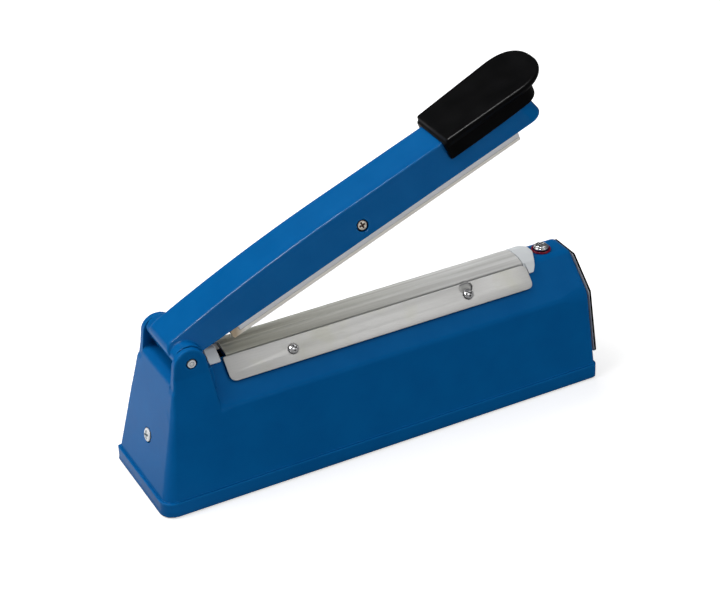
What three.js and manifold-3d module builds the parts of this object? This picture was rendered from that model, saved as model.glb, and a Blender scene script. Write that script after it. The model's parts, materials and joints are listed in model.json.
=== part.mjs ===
// Hand impulse heat sealer, millimetres, +Z up, +X from the hinge end to the handle end.
// The lever is shown raised, as its spring holds it.
import * as THREE from "three";
import { ConvexGeometry } from "three/addons/geometries/ConvexGeometry.js";
import { mergeVertices } from "three/addons/utils/BufferGeometryUtils.js";
import Module from "manifold-3d";

const wasm = await Module();
wasm.setup();

// ---------- driving dimensions ----------
const LENGTH = 320; // foot rim of the housing
const WIDTH = 80;
const RIM_HEIGHT = 10.3;
const FOOT_PROUD = 1; // rubber feet below the rim
const WALL = 2.6;
const SHOULDER = { half: 31.9, z: 63.9 }; // where the side wall meets the upper slope
const DECK = { half: 9.9, z: 86.6, edgeZ: 86.3 };
const LEFT_END = { low: -158.6, shoulder: -146.9, deck: -142 }; // leaning end wall
const RIGHT_END = { low: 159.2, shoulder: 157.1, deck: 154.4 };
const CORNERS = [4, 4, 8, 4]; // plan radii, counterclockwise from the rear right corner

const PIN = { x: -128, z: 99.5, radius: 3, half: 27.3 };
const EAR = { x: -129.2, z: 100.2, inner: 22.3, outer: 27, radius: 12 };
const HINGE_FLOOR = 89.8;

const OPEN_ANGLE = 21.5; // degrees between the raised lever and the bar
const ARM = { tail: -8.3, nose: 276.5, low: -2, lowHalf: 20, topHalf: 13.2, top: 20.5, wall: 2.5 };
const PRESSER = { start: 37.5, end: 254.5, half: 18.2, top: -2.3, bottom: -5.4 };
const PAD = { half: 17.8, top: -5.6, bottom: -9.3 };
const ARM_SCREW = { s: 136.8, h: 7.1 };
const GRIP = { start: 209, end: 289, rearHalf: 19.3, frontHalf: 23, rearTop: 25.6, frontTop: 27.8 };

const BAR = { start: -98.5, end: 117.2, half: 9.6, topHalf: 4.5, top: 89 };
const CLOTH_TOP = 89.9;
const SHIELD = { start: -101.6, end: 119.9, radius: 5 };
const SHIELD_SIDES = {
  front: { side: -1, low: 13.8, high: 30.9, screws: 22.6, lift: 0.9, thick: 1.4 },
  rear: { side: 1, low: 9.5, high: 26.6, screws: 17.5, lift: 0.85, thick: 1 },
};
const SHIELD_SCREWS = [-55.5, 72.1];

const PLUNGER = { x: 138.7, capRadius: 5, capLow: 88.8, capTop: 92.4, stem: 2, foot: 74.1 };
const KNOB = { z: 46, radius: 11, back: 159.9, front: 170.3 };
const CORD = { x: 120, z: 22, radius: 3 };

// ---------- colours ----------
const MATERIALS = {
  bluePlastic: { color: 0x0b4f8c, roughness: 0.35, metalness: 0 },
  blackPlastic: { color: 0x141414, roughness: 0.45, metalness: 0 },
  whitePlastic: { color: 0xdfe0df, roughness: 0.55, metalness: 0 },
  plateSteel: { color: 0xbcbcba, roughness: 0.35, metalness: 1 },
  chrome: { color: 0xd8d8d8, roughness: 0.15, metalness: 1 },
  aluminium: { color: 0xc4c4c2, roughness: 0.4, metalness: 1 },
  brass: { color: 0xb59a5c, roughness: 0.35, metalness: 1 },
  nichrome: { color: 0x8a857c, roughness: 0.4, metalness: 1 },
  cloth: { color: 0x8f8c80, roughness: 0.7, metalness: 0 },
  silicone: { color: 0xb9b3a6, roughness: 0.7, metalness: 0 },
  rubber: { color: 0x1c1c1c, roughness: 0.85, metalness: 0 },
  redLens: { color: 0x7a0f1c, roughness: 0.15, metalness: 0 },
  board: { color: 0x1f6b3a, roughness: 0.5, metalness: 0 },
  coreSteel: { color: 0x55565a, roughness: 0.5, metalness: 1 },
  winding: { color: 0xc9a23b, roughness: 0.5, metalness: 0 },
};

// ---------- shape helpers ----------
const vec = (x, y, z) => new THREE.Vector3(x, y, z);

function solid(geometry) {
  const bare = geometry.clone();
  bare.deleteAttribute("normal");
  bare.deleteAttribute("uv");
  const merged = mergeVertices(bare, 1e-4);
  return new wasm.Manifold(
    new wasm.Mesh({
      numProp: 3,
      vertProperties: merged.attributes.position.array,
      triVerts: new Uint32Array(merged.index.array),
    }),
  );
}

function geometryOf(shape) {
  const mesh = shape.getMesh();
  const geometry = new THREE.BufferGeometry();
  geometry.setAttribute("position", new THREE.BufferAttribute(mesh.vertProperties, 3));
  geometry.setIndex(new THREE.BufferAttribute(mesh.triVerts, 1));
  const flat = geometry.toNonIndexed();
  flat.computeVertexNormals();
  return flat;
}

const hull = (points) => solid(new ConvexGeometry(points));

function box(x0, x1, y0, y1, z0, z1) {
  const geometry = new THREE.BoxGeometry(x1 - x0, y1 - y0, z1 - z0);
  return solid(geometry.translate((x0 + x1) / 2, (y0 + y1) / 2, (z0 + z1) / 2));
}

// A cylinder standing on the z axis, from z0 to z1, at x and y.
function post(radius, x, y, z0, z1, sides = 24) {
  const geometry = new THREE.CylinderGeometry(radius, radius, z1 - z0, sides);
  return solid(geometry.rotateX(Math.PI / 2).translate(x, y, (z0 + z1) / 2));
}

// A cylinder along y, between y0 and y1, at x and z.
function crossRod(radius, x, z, y0, y1, sides = 24) {
  const geometry = new THREE.CylinderGeometry(radius, radius, Math.abs(y1 - y0), sides);
  return solid(geometry.translate(x, (y0 + y1) / 2, z));
}

// A cylinder along x, from x0 to x1, at y and z.
function longRod(radius, y, z, x0, x1, sides = 24) {
  const geometry = new THREE.CylinderGeometry(radius, radius, x1 - x0, sides);
  return solid(geometry.rotateZ(Math.PI / 2).translate((x0 + x1) / 2, y, z));
}

// A solid of revolution about the z axis: profile is [radius, z] pairs from axis to axis.
function turned(profile, sides = 24) {
  const geometry = new THREE.LatheGeometry(profile.map(([r, z]) => new THREE.Vector2(r, z)), sides);
  return solid(geometry.rotateX(Math.PI / 2));
}

// A prism along x, from x0 to x1, whose outline is [y, z] pairs.
function prismAlongX(outline, x0, x1) {
  const shape = new THREE.Shape(outline.map(([y, z]) => new THREE.Vector2(y, z)));
  const geometry = new THREE.ExtrudeGeometry(shape, { depth: x1 - x0, bevelEnabled: false });
  geometry.applyMatrix4(new THREE.Matrix4().makeBasis(vec(0, 1, 0), vec(0, 0, 1), vec(1, 0, 0)));
  return solid(geometry.translate(x0, 0, 0));
}

// The outline of a rectangle with rounded corners, level at height z. The radius is one number, or
// four of them, counterclockwise from the corner at x1 and +half.
function roundedRing(x0, x1, half, radius, z, steps = 5) {
  const points = [];
  for (let corner = 0; corner < 4; corner++) {
    const r = Array.isArray(radius) ? radius[corner] : radius;
    const cx = corner === 0 || corner === 3 ? x1 - r : x0 + r;
    const cy = corner < 2 ? half - r : r - half;
    for (let i = 0; i <= steps; i++) {
      const angle = THREE.MathUtils.degToRad(90 * corner + (90 * i) / steps);
      points.push(vec(cx + r * Math.cos(angle), cy + r * Math.sin(angle), z));
    }
  }
  return points;
}

function discPoints(x, z, radius, y, steps = 28) {
  const points = [];
  for (let i = 0; i < steps; i++) {
    const angle = (2 * Math.PI * i) / steps;
    points.push(vec(x + radius * Math.cos(angle), y, z + radius * Math.sin(angle)));
  }
  return points;
}

class Helix extends THREE.Curve {
  constructor(radius, low, high, turns) {
    super();
    Object.assign(this, { radius, low, high, turns });
  }
  getPoint(t, target = vec(0, 0, 0)) {
    const angle = 2 * Math.PI * this.turns * t;
    const z = this.low + (this.high - this.low) * t;
    return target.set(this.radius * Math.cos(angle), this.radius * Math.sin(angle), z);
  }
}

// A round wire swept along a curve.
function wire(curve, wireRadius, steps, sides = 6) {
  const section = new THREE.Shape();
  for (let i = 0; i < sides; i++) {
    const angle = (2 * Math.PI * i) / sides;
    const point = [wireRadius * Math.cos(angle), wireRadius * Math.sin(angle)];
    if (i === 0) section.moveTo(...point);
    else section.lineTo(...point);
  }
  return solid(new THREE.ExtrudeGeometry(section, { steps, extrudePath: curve }));
}

const coil = (radius, wireRadius, low, high, turns) =>
  wire(new Helix(radius, low + wireRadius, high - wireRadius, turns), wireRadius, turns * 12);

// ---------- places on the housing ----------
const SLOPE_RUN = SHOULDER.half - DECK.half;
const SLOPE_RISE = DECK.edgeZ - SHOULDER.z;
const SLOPE_LENGTH = Math.hypot(SLOPE_RUN, SLOPE_RISE);
const SLOPE_ANGLE = Math.atan2(SLOPE_RISE, SLOPE_RUN);

// [y, z] on the upper slope: up along it from the shoulder, and out from its face.
function onSlope(up, out) {
  return [
    SHOULDER.half - up * Math.cos(SLOPE_ANGLE) + out * Math.sin(SLOPE_ANGLE),
    SHOULDER.z + up * Math.sin(SLOPE_ANGLE) + out * Math.cos(SLOPE_ANGLE),
  ];
}

// Moves a shape built flat (x along, y up the slope, z out of it) onto the front or rear slope.
function layOnSlope(shape, side) {
  const turn = new THREE.Matrix4().makeBasis(
    vec(1, 0, 0),
    vec(0, -side * Math.cos(SLOPE_ANGLE), Math.sin(SLOPE_ANGLE)),
    vec(0, side * Math.sin(SLOPE_ANGLE), Math.cos(SLOPE_ANGLE)),
  );
  const flip = side > 0 ? new THREE.Matrix4().makeScale(-1, 1, 1) : new THREE.Matrix4();
  const place = new THREE.Matrix4()
    .makeTranslation(0, side * SHOULDER.half, SHOULDER.z)
    .multiply(turn)
    .multiply(flip);
  return shape.transform(place.elements);
}

const mirrored = (outline) => [...outline, ...outline.map(([y, z]) => [-y, z]).reverse()];
const rightFaceX = (z) =>
  THREE.MathUtils.mapLinear(z, 9, SHOULDER.z, RIGHT_END.low, RIGHT_END.shoulder);
const leftFaceX = (z) => THREE.MathUtils.mapLinear(z, 9, SHOULDER.z, LEFT_END.low, LEFT_END.shoulder);

// ---------- fixed parts ----------
function housingOuter() {
  const rim = hull([
    ...roundedRing(-LENGTH / 2, LENGTH / 2, WIDTH / 2, CORNERS, 0),
    ...roundedRing(-LENGTH / 2 + 0.3, LENGTH / 2 - 0.3, WIDTH / 2 - 0.3, CORNERS, RIM_HEIGHT),
  ]);
  const walls = hull([
    ...roundedRing(LEFT_END.low, RIGHT_END.low, 38.5, CORNERS, 9),
    ...roundedRing(LEFT_END.shoulder, RIGHT_END.shoulder, SHOULDER.half, CORNERS, SHOULDER.z),
    ...roundedRing(leftFaceX(83), rightFaceX(83), onSlope(SLOPE_LENGTH - 4.6, 0)[0], 3, 83),
    ...roundedRing(LEFT_END.deck, RIGHT_END.deck, DECK.half, 3, DECK.edgeZ),
    ...roundedRing(LEFT_END.deck + 0.4, RIGHT_END.deck - 2.7, DECK.half - 0.6, 3, DECK.z),
  ]);
  return rim.add(walls);
}

function housingHollow() {
  const low = [LEFT_END.low + WALL, RIGHT_END.low - WALL];
  return hull([
    ...roundedRing(low[0], low[1], 35.9, 7, -1),
    ...roundedRing(low[0], low[1], 35.9, 7, 9),
    ...roundedRing(LEFT_END.shoulder + WALL, RIGHT_END.shoulder - WALL, 29.3, 4, 62.8),
    ...roundedRing(LEFT_END.deck + WALL, RIGHT_END.deck - WALL - 1, 8.9, 2, 83.6),
  ]);
}

function ear(side) {
  const rim = [
    [EAR.radius, EAR.inner],
    [EAR.radius, 23],
    [11.2, 24.8],
    [9.9, 26.1],
    [8.2, EAR.outer],
  ];
  const points = rim.flatMap(([radius, y]) => discPoints(EAR.x, EAR.z, radius, side * y));
  for (const [x, y, z] of [
    [-147.2, EAR.inner, 62],
    [-147.2, 28.5, 62],
    [-143.5, 32, 62],
    [-111, 32, 62],
    [-111, EAR.inner, 62],
    [-140.2, EAR.outer - 2.4, 91],
    [-137.6, EAR.outer, 91],
    [-117.4, EAR.outer, 91],
    [-115.8, EAR.inner, 91],
  ]) {
    points.push(vec(x, side * y, z));
  }
  return hull(points);
}

function hingeBlock() {
  const points = [];
  for (const y of [-EAR.inner - 0.4, EAR.inner + 0.4]) {
    points.push(vec(-147.4, y, 60), vec(-110.6, y, 60));
    points.push(vec(-141.6, y, HINGE_FLOOR - 1.8), vec(-140.2, y, HINGE_FLOOR));
    points.push(vec(-112.6, y, HINGE_FLOOR));
  }
  return hull(points);
}

const BOSSES = [
  [-140, -28],
  [-140, 28],
  [140, -28],
  [140, 28],
];

function bodyHousing() {
  let shell = housingOuter().add(hingeBlock()).add(ear(-1)).add(ear(1));
  shell = shell.subtract(housingHollow());
  shell = shell.subtract(hull([-1, 2.9].flatMap((z) => roundedRing(-157.4, 157.4, 37.4, 8, z))));
  for (const [x, y] of BOSSES) {
    shell = shell.add(post(4, x, y, 3, 55, 16)).subtract(post(1.5, x, y, 2, 15, 12));
  }
  shell = shell.subtract(crossRod(PIN.radius + 0.15, PIN.x, PIN.z, -40, 40));
  shell = shell.add(post(2.3, -119.5, 0, HINGE_FLOOR - 1, HINGE_FLOOR + 2.4, 16));
  for (const { side, screws } of Object.values(SHIELD_SIDES)) {
    for (const x of SHIELD_SCREWS) {
      shell = shell.subtract(layOnSlope(post(1.6, side > 0 ? -x : x, screws, -8, 2, 12), side));
    }
  }
  shell = shell.subtract(post(PLUNGER.stem + 0.3, PLUNGER.x, 0, 80, 90));
  shell = shell.subtract(post(1.9, 143.8, 0, 80, 90, 16));
  for (const x of [-101, 118.6]) shell = shell.subtract(post(1.6, x, 0, 80, 90, 12));
  shell = shell.subtract(longRod(5.2, 0, KNOB.z, 150, 165));
  shell = shell.subtract(crossRod(5.8, CORD.x, CORD.z, 30, 42));
  return shell.subtract(longRod(3.9, 0, 39.3, -160, leftFaceX(39.3) + 1.2)).subtract(
    longRod(1.6, 0, 39.3, -160, -140, 12),
  );
}

const basePlate = () => {
  let plate = hull([0.4, 2.6].flatMap((z) => roundedRing(-157.1, 157.1, 37.1, 8, z)));
  for (const [x, y] of BOSSES) plate = plate.subtract(post(1.6, x, y, 0, 3, 12));
  return plate;
};

// A pan-head screw standing head down at x and y, its head's flat at z.
const screwUp = (x, y, z, shank) =>
  post(2.6, x, y, z - 1, z, 18).add(post(1.3, x, y, z - 0.2, z + shank, 12));

const rubberFoot = (x, y) => post(7, x, y, -FOOT_PROUD, 0.1, 24);

function controlPanel() {
  const outline = [
    [36.6, 18.3],
    [31.1, 63.6],
    [11.6, 83.4],
  ];
  const points = [];
  for (const [y, z] of mirrored(outline)) {
    points.push(vec(rightFaceX(z) + 0.3, y, z), vec(rightFaceX(z) + 1.5, y, z));
  }
  return hull(points).subtract(longRod(5.2, 0, KNOB.z, 150, 165));
}

function timerKnob() {
  const outline = new THREE.Shape();
  const flutes = 14;
  const steps = flutes * 6;
  for (let i = 0; i < steps; i++) {
    const angle = (2 * Math.PI * i) / steps;
    const radius = KNOB.radius - 0.45 + 0.45 * Math.cos(flutes * angle);
    const point = [radius * Math.cos(angle), radius * Math.sin(angle)];
    if (i === 0) outline.moveTo(...point);
    else outline.lineTo(...point);
  }
  const depth = KNOB.front - KNOB.back;
  const body = new THREE.ExtrudeGeometry(outline, { depth, bevelEnabled: false });
  body.applyMatrix4(new THREE.Matrix4().makeBasis(vec(0, 1, 0), vec(0, 0, 1), vec(1, 0, 0)));
  body.translate(KNOB.back, 0, KNOB.z);
  const pointer = box(KNOB.front - 0.6, KNOB.front + 1, -0.7, 0.7, KNOB.z + 2, KNOB.z + 12);
  return solid(body)
    .subtract(longRod(3.2, 0, KNOB.z, KNOB.back - 1, KNOB.front - 2.5))
    .subtract(longRod(8.2, 0, KNOB.z, KNOB.back - 1, KNOB.back + 3))
    .subtract(pointer);
}

function potentiometerNut() {
  const ring = longRod(7, 0, KNOB.z, 159.7, 161.6, 6);
  return ring.subtract(longRod(5.15, 0, KNOB.z, 159, 162));
}

const potentiometer = () =>
  longRod(12, 0, KNOB.z, 143, 152)
    .add(longRod(4.9, 0, KNOB.z, 151.5, 161.9))
    .subtract(longRod(3.2, 0, KNOB.z, 145, 163));

const timerBoard = () => box(140.9, 142.5, -24, 24, 27, 60);

function transformerCore() {
  let core = box(-75, -25, -13, 13, 6, 48);
  for (const x of [-66.7, -41.7]) core = core.subtract(box(x, x + 8.4, -14, 14, 14.4, 39.6));
  return core;
}

const transformerCoil = () =>
  box(-66.4, -33.6, -23, 23, 14.7, 39.3).subtract(box(-58.6, -41.4, -13.3, 13.3, 10, 45));

function transformerBracket() {
  const strap = box(-76.6, -23.4, -9, 9, 2.9, 49.5).subtract(box(-75.4, -24.6, -10, 10, 2, 48.3));
  let feet = box(-91, -76, -9, 9, 2.9, 4.1).add(box(-24, -9, -9, 9, 2.9, 4.1));
  for (const x of [-84, -16]) feet = feet.subtract(post(1.8, x, 0, 2, 5, 12));
  return strap.add(feet);
}

// A pan-head screw standing head up, its head's flat at z.
const screwDown = (x, y, z, shank) =>
  post(3, x, y, z, z + 1.9, 18).add(post(1.4, x, y, z - shank, z + 0.2, 12));

const microSwitch = () =>
  box(129, 148.5, -3.2, 3.2, 61.5, 71.9).subtract(post(1.5, PLUNGER.x, 0, 66, 73, 12));

function switchBracket() {
  const back = box(128, 150, 3.5, 4.7, 62, 80);
  const shelf = box(132.5, 145.5, -6, 4.7, 74.8, 75.8).subtract(post(2.5, PLUNGER.x, 0, 74, 77));
  return back.add(shelf);
}

function switchPlunger() {
  const { capRadius, capLow, capTop, stem, foot } = PLUNGER;
  const profile = [
    [0, foot],
    [stem, foot],
    [stem, capLow],
    [capRadius, capLow],
    [capRadius, capTop - 1.8],
    [capRadius - 0.9, capTop - 0.7],
    [capRadius - 2.4, capTop - 0.1],
    [0, capTop],
  ];
  const slot = box(-0.5, 0.5, -2.6, 2.6, capTop - 1, capTop + 1);
  return turned(profile).subtract(slot).translate([PLUNGER.x, 0, 0]);
}

const plungerClip = () =>
  post(3.1, PLUNGER.x, 0, 82.3, 83.2, 18).subtract(post(2.15, PLUNGER.x, 0, 82, 84, 24));

const plungerSpring = () => coil(2.9, 0.35, 75.95, 82.1, 5).translate([PLUNGER.x, 0, 0]);

function lampRing() {
  const profile = [
    [5.4, 86.75],
    [6.7, 86.75],
    [6.7, 88.2],
    [6.1, 89.1],
    [5.4, 89.2],
    [5.4, 86.75],
  ];
  return turned(profile, 28).translate([PLUNGER.x, 0, 0]);
}

const sealBar = () =>
  prismAlongX(
    mirrored([
      [BAR.half, DECK.z + 0.3],
      [BAR.half - 0.2, 87.1],
      [BAR.topHalf, BAR.top],
    ]),
    BAR.start,
    BAR.end,
  );

function clothCover() {
  const inner = [onSlope(24.6, 0.2), onSlope(30.5, 0.2), [9.9, 87.15], [4.6, CLOTH_TOP - 0.35]];
  const outer = [[4.7, CLOTH_TOP], [10, 87.5], onSlope(30.5, 0.55), onSlope(24.6, 0.55)];
  const across = [...inner, ...inner.map(([y, z]) => [-y, z]).reverse()];
  const back = [...outer.map(([y, z]) => [-y, z]).reverse(), ...outer];
  return prismAlongX([...across, ...back], BAR.start - 0.2, BAR.end + 0.2);
}

// A roof-shaped block astride the deck, its wings reaching down the slopes.
function saddle(x0, x1, wingLow, topHalf, topZ) {
  const inner = [onSlope(wingLow, 0.3), [10.15, DECK.z + 0.3]];
  const outer = [[topHalf, topZ], onSlope(SLOPE_LENGTH, 2), onSlope(wingLow, 1.8)];
  const across = [...inner, ...inner.map(([y, z]) => [-y, z]).reverse()];
  const back = [...outer.map(([y, z]) => [-y, z]).reverse(), ...outer];
  return prismAlongX([...across, ...back], x0, x1);
}

const endBlockLeft = () => saddle(-111.2, -103.2, 28.6, 5, 92);

function endBlockRight() {
  let block = saddle(117.8, 126.8, 31.2, 5, 89.8).add(saddle(120.5, 126.8, 24, 5, 89.8));
  for (const side of [-1, 1]) {
    const corner = hull(
      [-1, 5].flatMap((z) => [
        vec(side * -130, 20, z),
        vec(side * -130, 32.5, z),
        vec(side * -120.6, 20, z),
      ]),
    );
    block = block.subtract(layOnSlope(corner, side));
  }
  return block;
}

const terminal = (x) =>
  box(x - 1.5, x + 1.5, -3.5, 3.5, DECK.z + 0.3, 88.6).add(post(1.2, x, 0, 78, 87.5, 12));

function shieldPlate({ side, low, high, screws, lift, thick }) {
  const { start, end, radius } = SHIELD;
  const shape = new THREE.Shape();
  shape.moveTo(start, high - 1.5);
  shape.quadraticCurveTo(start, high, start + 1.5, high);
  shape.lineTo(end - 2.5, high);
  shape.quadraticCurveTo(end, high, end, high - 2.5);
  shape.lineTo(end, low + radius);
  shape.absarc(end - radius, low + radius, radius, 0, -Math.PI / 2, true);
  shape.lineTo(start + radius, low);
  shape.absarc(start + radius, low + radius, radius, -Math.PI / 2, -Math.PI, true);
  const options = { depth: thick, bevelEnabled: false, curveSegments: 6 };
  let plate = solid(new THREE.ExtrudeGeometry(shape, options).translate(0, 0, lift));
  for (const x of SHIELD_SCREWS) {
    plate = plate.subtract(post(1.7, x, screws, 0, 4, 12));
  }
  return side > 0 ? layOnSlope(plate.scale([-1, 1, 1]), 1) : layOnSlope(plate, -1);
}

function shieldScrew({ side, screws, lift, thick }, x) {
  const screw = screwDown(side > 0 ? -x : x, screws, lift + thick + 0.1, 8);
  return layOnSlope(screw, side);
}

function endScrew() {
  const face = leftFaceX(39.3);
  return longRod(3.3, 0, 39.3, face - 1.1, face + 0.8, 20).add(
    longRod(1.3, 0, 39.3, face, face + 9, 12),
  );
}

const cordBush = () =>
  crossRod(5.5, CORD.x, CORD.z, 32.5, 38.4)
    .add(crossRod(7, CORD.x, CORD.z, 38.1, 39.5))
    .subtract(crossRod(CORD.radius + 0.2, CORD.x, CORD.z, 30, 41));

const washer = (side) => {
  const [y0, y1] = side > 0 ? [20.4, 22] : [-22, -20.4];
  const bore = crossRod(PIN.radius + 0.15, PIN.x, PIN.z, y0 - 1, y1 + 1);
  return crossRod(6, PIN.x, PIN.z, y0, y1).subtract(bore);
};

const liftSpring = () => coil(3.4, 0.6, HINGE_FLOOR + 0.25, 113.9, 6).translate([-119.5, 0, 0]);

// ---------- lever, in its own frame: x along it from the pin, z square to it ----------
const armSide = (h) => ARM.lowHalf - ((h - ARM.low) * (ARM.lowHalf - ARM.topHalf)) / (ARM.top - ARM.low);

// The height of the lever's top, a gentle arch that levels out half way along.
const armTop = (s) => ARM.top - 5.9 * Math.max(0, (125 - s) / 111) ** 2;

// The lever's solid outline, made larger all round by grow.
function armEnvelope(grow, low) {
  const points = roundedRing(ARM.tail + 5 - grow, ARM.nose + grow, armSide(low) + grow, 12, low);
  const start = points.length;
  for (let i = start - 1; i >= 0; i--) {
    if (points[i].x < 20) points.splice(i, 1);
  }
  for (const y of [-1, 1]) {
    points.push(vec(ARM.tail + 3.8 - grow, y * (armSide(low) + grow), low));
    points.push(vec(ARM.tail - grow, y * (armSide(5) + grow), 5));
    points.push(vec(ARM.tail + 1.6 - grow, y * (armSide(9.2) + grow), 9.2 + grow));
    points.push(vec(ARM.tail + 5.6, y * (ARM.topHalf + 0.5 + grow), 12.1 + grow));
    for (const s of [4, 14, 33, 51, 70, 88, 107, 125, 200, 262]) {
      points.push(vec(s, y * (ARM.topHalf + grow), armTop(s) + grow));
    }
    points.push(vec(268 + grow, y * (9 + grow), ARM.top + grow));
    points.push(vec(270 + grow, y * (5 + grow), ARM.top + grow));
  }
  return hull(points);
}

function leverArm() {
  let arm = armEnvelope(0, ARM.low).subtract(armEnvelope(-ARM.wall, ARM.low - 2));
  for (const side of [-1, 1]) {
    const heel = [vec(-8, 0, -7), vec(-8, 0, -2), vec(-3, 0, -7)];
    const inner = side * 16;
    const outer = side * 20.1;
    const lug = [inner, outer].flatMap((y) => [
      ...discPoints(0, 0, 7.2, y),
      ...heel.map((p) => vec(p.x, y, p.z)),
      vec(7, y, 3),
    ]);
    arm = arm.add(hull(lug));
    arm = arm.subtract(crossRod(1.7, ARM_SCREW.s, ARM_SCREW.h, side * 10, side * 22, 16));
  }
  arm = arm.subtract(crossRod(PIN.radius + 0.15, 0, 0, -30, 30));
  const recess = crossRod(3.9, ARM_SCREW.s, ARM_SCREW.h, 15.6, 22, 20);
  arm = arm.subtract(recess).subtract(recess.mirror([0, 1, 0]));
  arm = arm.add(post(4.2, 266.2, 0, -6.7, 18.2, 18));
  for (const s of [225, 252]) arm = arm.subtract(post(1.7, s, 0, 15, 25, 12));
  return arm;
}

function presserBar() {
  const { start, end, half, top, bottom } = PRESSER;
  const { s, h } = ARM_SCREW;
  let bar = box(start, end, -half, half, bottom, top);
  const clip = box(s - 12, s + 12, -12.6, 12.6, top - 0.5, 11);
  bar = bar.add(clip.subtract(box(s - 13, s + 13, -11.2, 11.2, top, 12)));
  return bar.subtract(crossRod(1.7, s, h, -14, 14, 16));
}

const siliconePad = () =>
  box(PRESSER.start, PRESSER.end, -PAD.half, PAD.half, PAD.bottom, PAD.top);

function armScrew(side) {
  const screw = crossRod(3.6, ARM_SCREW.s, ARM_SCREW.h, 15.9, 17.6, 20).add(
    crossRod(1.4, ARM_SCREW.s, ARM_SCREW.h, 9, 16, 12),
  );
  return side > 0 ? screw : screw.mirror([0, 1, 0]);
}

// Half width of the grip's top: widening forward, then a full rounded end.
function gripHalf(s) {
  const bend = 266;
  if (s <= bend) return THREE.MathUtils.mapLinear(s, GRIP.start, bend, GRIP.rearHalf, GRIP.frontHalf);
  const along = (s - bend) / (GRIP.end - bend);
  return GRIP.frontHalf * Math.max(0, 1 - along ** 2.4) ** (1 / 2.4);
}

function gripRing(inset, height) {
  const stations = [0, 30, 57, 64, 69, 73, 76, 78.5, 80, 80.8, 81];
  const points = [];
  for (const offset of stations) {
    const s = GRIP.start + offset;
    const half = Math.max(gripHalf(s) - inset, 0.3);
    const x = THREE.MathUtils.mapLinear(s, GRIP.start, GRIP.end, GRIP.start + inset, GRIP.end - inset);
    points.push(vec(x, half, height(s)), vec(x, -half, height(s)));
  }
  return points;
}

function grip() {
  const top = (s) =>
    THREE.MathUtils.mapLinear(s, GRIP.start, GRIP.end, GRIP.rearTop, GRIP.frontTop);
  const cap = hull([
    ...gripRing(2.5, (s) => top(s) - 6.5),
    ...gripRing(0.2, (s) => top(s) - 3),
    ...gripRing(0, (s) => top(s) - 1.3),
    ...gripRing(0.5, (s) => top(s) - 0.4),
    ...gripRing(1.3, (s) => top(s)),
  ]);
  const skirt = hull([
    ...roundedRing(205, 278.5, 19.2, 12, 9.7),
    ...roundedRing(209.5, 278, 18.2, 12, 22),
  ]);
  const rear = box(190, 207.1, -30, 30, 0, 19);
  let handle = cap.add(skirt.subtract(rear)).subtract(armEnvelope(0.3, ARM.low));
  for (const s of [225, 252]) handle = handle.subtract(post(1.7, s, 0, 10, 23, 12));
  return handle;
}

const gripScrew = (s) => screwUp(s, 0, 17.3, 5.3);

// ---------- assembly ----------
const sealer = new THREE.Group();
sealer.position.set(-(KNOB.front - LENGTH / 2) / 2, 0, FOOT_PROUD);

function addPart(group, name, shape, material) {
  const mesh = new THREE.Mesh(geometryOf(shape), new THREE.MeshStandardMaterial(MATERIALS[material]));
  mesh.name = name;
  group.add(mesh);
}

function buildBase(group) {
  addPart(group, "body_housing", bodyHousing(), "bluePlastic");
  addPart(group, "base_plate", basePlate(), "blackPlastic");
  BOSSES.forEach(([x, y], i) => {
    addPart(group, `base_screw_${i + 1}`, screwUp(x, y, 0.35, 10), "chrome");
    const footX = x > 0 ? x - 14 : x + 14;
    addPart(group, `rubber_foot_${i + 1}`, rubberFoot(footX, y), "rubber");
  });
  addPart(group, "end_screw", endScrew(), "chrome");
  addPart(group, "cord_bush", cordBush(), "blackPlastic");
  const cord = crossRod(CORD.radius, CORD.x, CORD.z, 14, 39.7, 16);
  addPart(group, "power_cord", cord, "rubber");
}

function buildControls(group) {
  addPart(group, "control_panel", controlPanel(), "blackPlastic");
  addPart(group, "timer_knob", timerKnob(), "blackPlastic");
  addPart(group, "timer_shaft", longRod(3, 0, KNOB.z, 145.3, 167.5), "chrome");
  addPart(group, "timer_potentiometer", potentiometer(), "coreSteel");
  addPart(group, "potentiometer_nut", potentiometerNut(), "chrome");
  addPart(group, "timer_board", timerBoard(), "board");
  addPart(group, "board_relay", box(124, 140.6, -20, -5, 30, 45), "blackPlastic");
  addPart(group, "board_capacitor", longRod(5, 12, 38, 126, 140.6), "bluePlastic");
  addPart(group, "micro_switch", microSwitch(), "blackPlastic");
  addPart(group, "switch_bracket", switchBracket(), "plateSteel");
  addPart(group, "switch_button", post(1.2, PLUNGER.x, 0, 70, 73.8, 12), "redLens");
  addPart(group, "switch_plunger", switchPlunger(), "chrome");
  addPart(group, "plunger_clip", plungerClip(), "plateSteel");
  addPart(group, "plunger_spring", plungerSpring(), "chrome");
  addPart(group, "lamp_ring", lampRing(), "redLens");
  addPart(group, "indicator_bulb", post(1.6, 143.8, 0, 76.5, 86.2, 16), "redLens");
}

function buildTransformer(group) {
  addPart(group, "transformer_core", transformerCore(), "coreSteel");
  addPart(group, "transformer_coil", transformerCoil(), "winding");
  addPart(group, "transformer_bracket", transformerBracket(), "plateSteel");
  addPart(group, "transformer_screw_1", screwDown(-84, 0, 4.2, 1.5), "chrome");
  addPart(group, "transformer_screw_2", screwDown(-16, 0, 4.2, 1.5), "chrome");
}

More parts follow.
